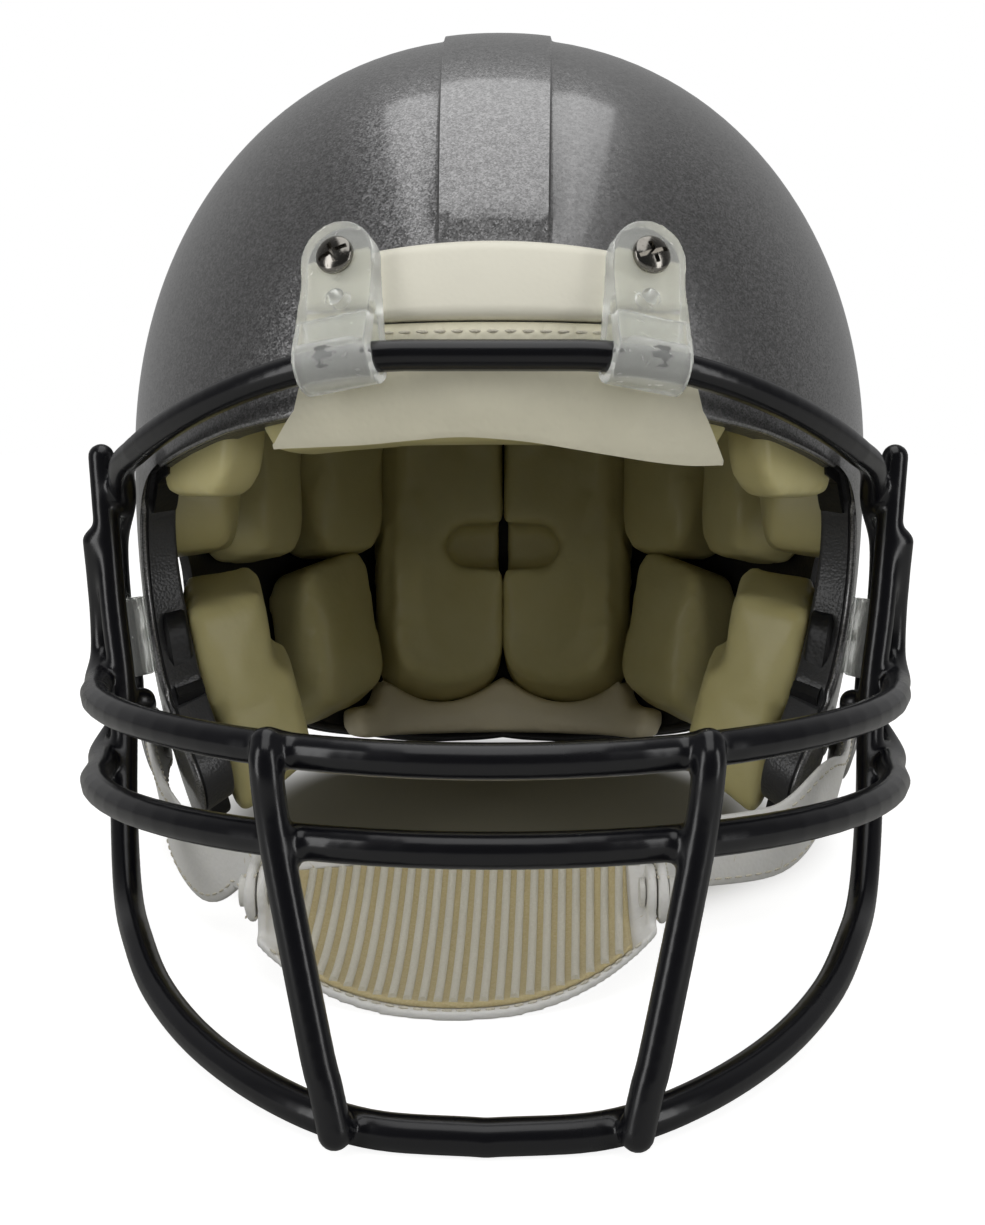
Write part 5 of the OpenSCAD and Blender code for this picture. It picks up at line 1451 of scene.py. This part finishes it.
def make_straps():
    stud, way = over_skin(STUD_AZ, STUD_Z, 0), normal_at(STUD_AZ, STUD_Z)
    for k, node in ((1, "right_strap"), (0, "left_strap")):
        path = strap_path(k)
        side = np.array([1 if k else -1, 1, 1])
        at_stud = seated_way(skin_up(stud) * side)
        step = np.arange(len(path)) / 3.33
        ups = mix(at_stud[None], np.array([[0, 0, 1.0]]), ease((step - 8) / 8)[:, None])
        widths = mix(STRAP_W, 0.015, ease((step - 15) / 8))
        make_strap(node, path, ups, (widths, round_tips(widths, path, 0.006, 0.006)), STRAP_T,
                   seated(stud * side), seated_way(way * side), 0.0022, (6, -4))
    rear = path_through([
        over_skin(REAR_STUD_AZ + 8, REAR_STUD_Z + 0.001, STRAP_OFF),
        over_skin(REAR_STUD_AZ, REAR_STUD_Z, STRAP_OFF),
        over_skin(REAR_STUD_AZ - 9, REAR_STUD_Z - 0.004, STRAP_OFF - 0.001), over_skin(100, -0.078, 0.003),
        over_skin(STUD_AZ + 10, STUD_Z - 0.002, 0.003)], 10)
    stud, way = over_skin(REAR_STUD_AZ, REAR_STUD_Z, 0), normal_at(REAR_STUD_AZ, REAR_STUD_Z)
    for side, node in (([1, 1, 1], "right_rear_strap"), ([-1, 1, 1], "left_rear_strap")):
        path = seated(rear * side)
        ups = seated_way(np.array([skin_up(p) for p in rear]) * side)
        widths = np.full(len(path), STRAP_W - 0.003)
        make_strap(node, path, ups, (widths, round_tips(widths, path, 0.006, 0.004)), STRAP_T - 0.0006,
                   seated(stud * side), seated_way(way * side), 0.002, (5, -4))


# ---- The rest of the CAD's nodes -------------------------------------------------------------

def paint_nodes():
    """Gives the nodes that stay as they are their materials."""
    finishes = {"snap_studs": SNAP, "stud_nuts": NUT, "clip_nuts": NUT, "air_valves": RUBBER,
                "cup_rivets": RIVET}
    for node, finish in finishes.items():
        mesh = nodes[node].data
        mesh.materials.clear()
        mesh.materials.append(finish)
        mesh.polygons.foreach_set("material_index", [0] * len(mesh.polygons))


# ---- Floor, light and camera -----------------------------------------------------------------

# The floor is darker under the helmet, within these two distances of the middle of its shadow: its colour is
# painted dark olive there as a painted shadow, and its camera glow fades out so the lamps' own shadow shows
FLOOR_SIZE, SHADE_MIDDLE, SHADE_FROM, SHADE_TO, FLOOR_GLOW = 3.0, (0, 0.045, 0), 0.075, 0.12, 0.88
# Lamps: name, place, what it faces, its width and height, and its power
LAMPS = [("overhead", (0, -0.15, 1.1), (0, 0, 0.12), (0.8, 1.3), 4.2),
         ("front_left", (-1.0, -0.8, 0.45), (0, 0, 0.12), (0.4, 1.1), 3.8),
         ("front_right", (1.0, -0.75, 0.42), (0, 0, 0.12), (0.3, 1.1), 2.9)]
WORLD_DIFFUSE, WORLD_GLOSS = 0.42, (0.05, 0.26)


def make_stage():
    corners = [(-FLOOR_SIZE, -FLOOR_SIZE, 0), (FLOOR_SIZE, -FLOOR_SIZE, 0), (FLOOR_SIZE, FLOOR_SIZE, 0),
               (-FLOOR_SIZE, FLOOR_SIZE, 0)]
    m, t, s = material("floor_white", (0.45, 0.45, 0.44), 0.8, Emission_Color=(1, 1, 1, 1))
    ray = t.add("ShaderNodeLightPath").outputs
    seen = t.math("MAXIMUM", ray["Is Camera Ray"], ray["Is Transmission Ray"])
    # Painted shadow: near the helmet the floor's colour turns dark olive and its glow for camera rays fades
    # to nothing
    offset = t.vector("SUBTRACT", t.place(), SHADE_MIDDLE)
    reach = t.add("ShaderNodeVectorMath", {"operation": "LENGTH"}, i0=offset)
    away = t.carried(reach.outputs["Value"], SHADE_FROM, SHADE_TO, 0.0, FLOOR_GLOW, soft=True)
    t.link(between(t, away, (0.28, 0.265, 0.2), (0.45, 0.45, 0.44)), s["Base Color"])
    t.link(t.math("MULTIPLY", seen, away), s["Emission Strength"])
    mesh_object("floor", corners, [(0, 1, 2, 3)], [m], smooth=False)


def make_light():
    world = bpy.data.worlds.new("studio")
    bpy.context.scene.world = world
    world.use_nodes = True
    t = Tree(world.node_tree)
    back = world.node_tree.nodes["Background"].inputs
    ray = t.add("ShaderNodeLightPath").outputs
    way = t.add("ShaderNodeSeparateXYZ", Vector=t.add("ShaderNodeTexCoord").outputs["Generated"])
    behind = t.carried(way.outputs["Y"], -0.35, 0.75, *WORLD_GLOSS, soft=True)
    seen = t.math("MAXIMUM", ray["Is Camera Ray"], ray["Is Transmission Ray"])
    glossy = t.math("MULTIPLY", ray["Is Glossy Ray"], behind)
    soft = t.math("MULTIPLY", ray["Is Diffuse Ray"], WORLD_DIFFUSE)
    t.link(t.math("MAXIMUM", seen, t.math("ADD", glossy, soft)), back["Strength"])
    back["Color"].default_value = (1, 1, 1, 1)
    for name, place, target, size, power in LAMPS:
        lamp = bpy.data.lights.new(name, "AREA")
        lamp.shape, lamp.size, lamp.size_y, lamp.energy = "RECTANGLE", size[0], size[1], power
        obj = linked(name, lamp)
        obj.location = place
        obj.rotation_euler = (Vector(target) - Vector(place)).to_track_quat("-Z", "Y").to_euler()


# The photograph's eye in the helmet's frame: how far off, its height, its bearing and how far it dips
EYE_AWAY, EYE_Z, EYE_YAW, EYE_DIP = 0.475, -0.040, 0.67, 0.92
# Its reach, the picture's width and the middle's shift, in pixels
FOCUS_PX, PICTURE_W, MIDDLE_SHIFT_PX = 1400, 985, 7.7


def make_camera():
    camera = bpy.data.cameras.new("camera")
    camera.sensor_width, camera.sensor_fit = 36, "HORIZONTAL"
    camera.lens = FOCUS_PX / PICTURE_W * camera.sensor_width
    camera.shift_x = -MIDDLE_SHIFT_PX / PICTURE_W
    camera.clip_start = 0.01
    obj = linked("camera", camera)
    obj.location = seated([EYE_AWAY * sind(EYE_YAW), -EYE_AWAY * cosd(EYE_YAW), EYE_Z])
    obj.rotation_euler = (math.radians(90 - TILT - EYE_DIP), 0, math.radians(EYE_YAW))
    bpy.context.scene.camera = obj


make_camera()
make_stage()
make_light()
bpy.context.scene.view_settings.view_transform = "Standard"
make_shell()
make_front_bumper()
make_rear_bumper()
make_guard()
make_clips()
make_fasteners()
make_liner()
make_brow_flap()
make_cup()
make_straps()
paint_nodes()
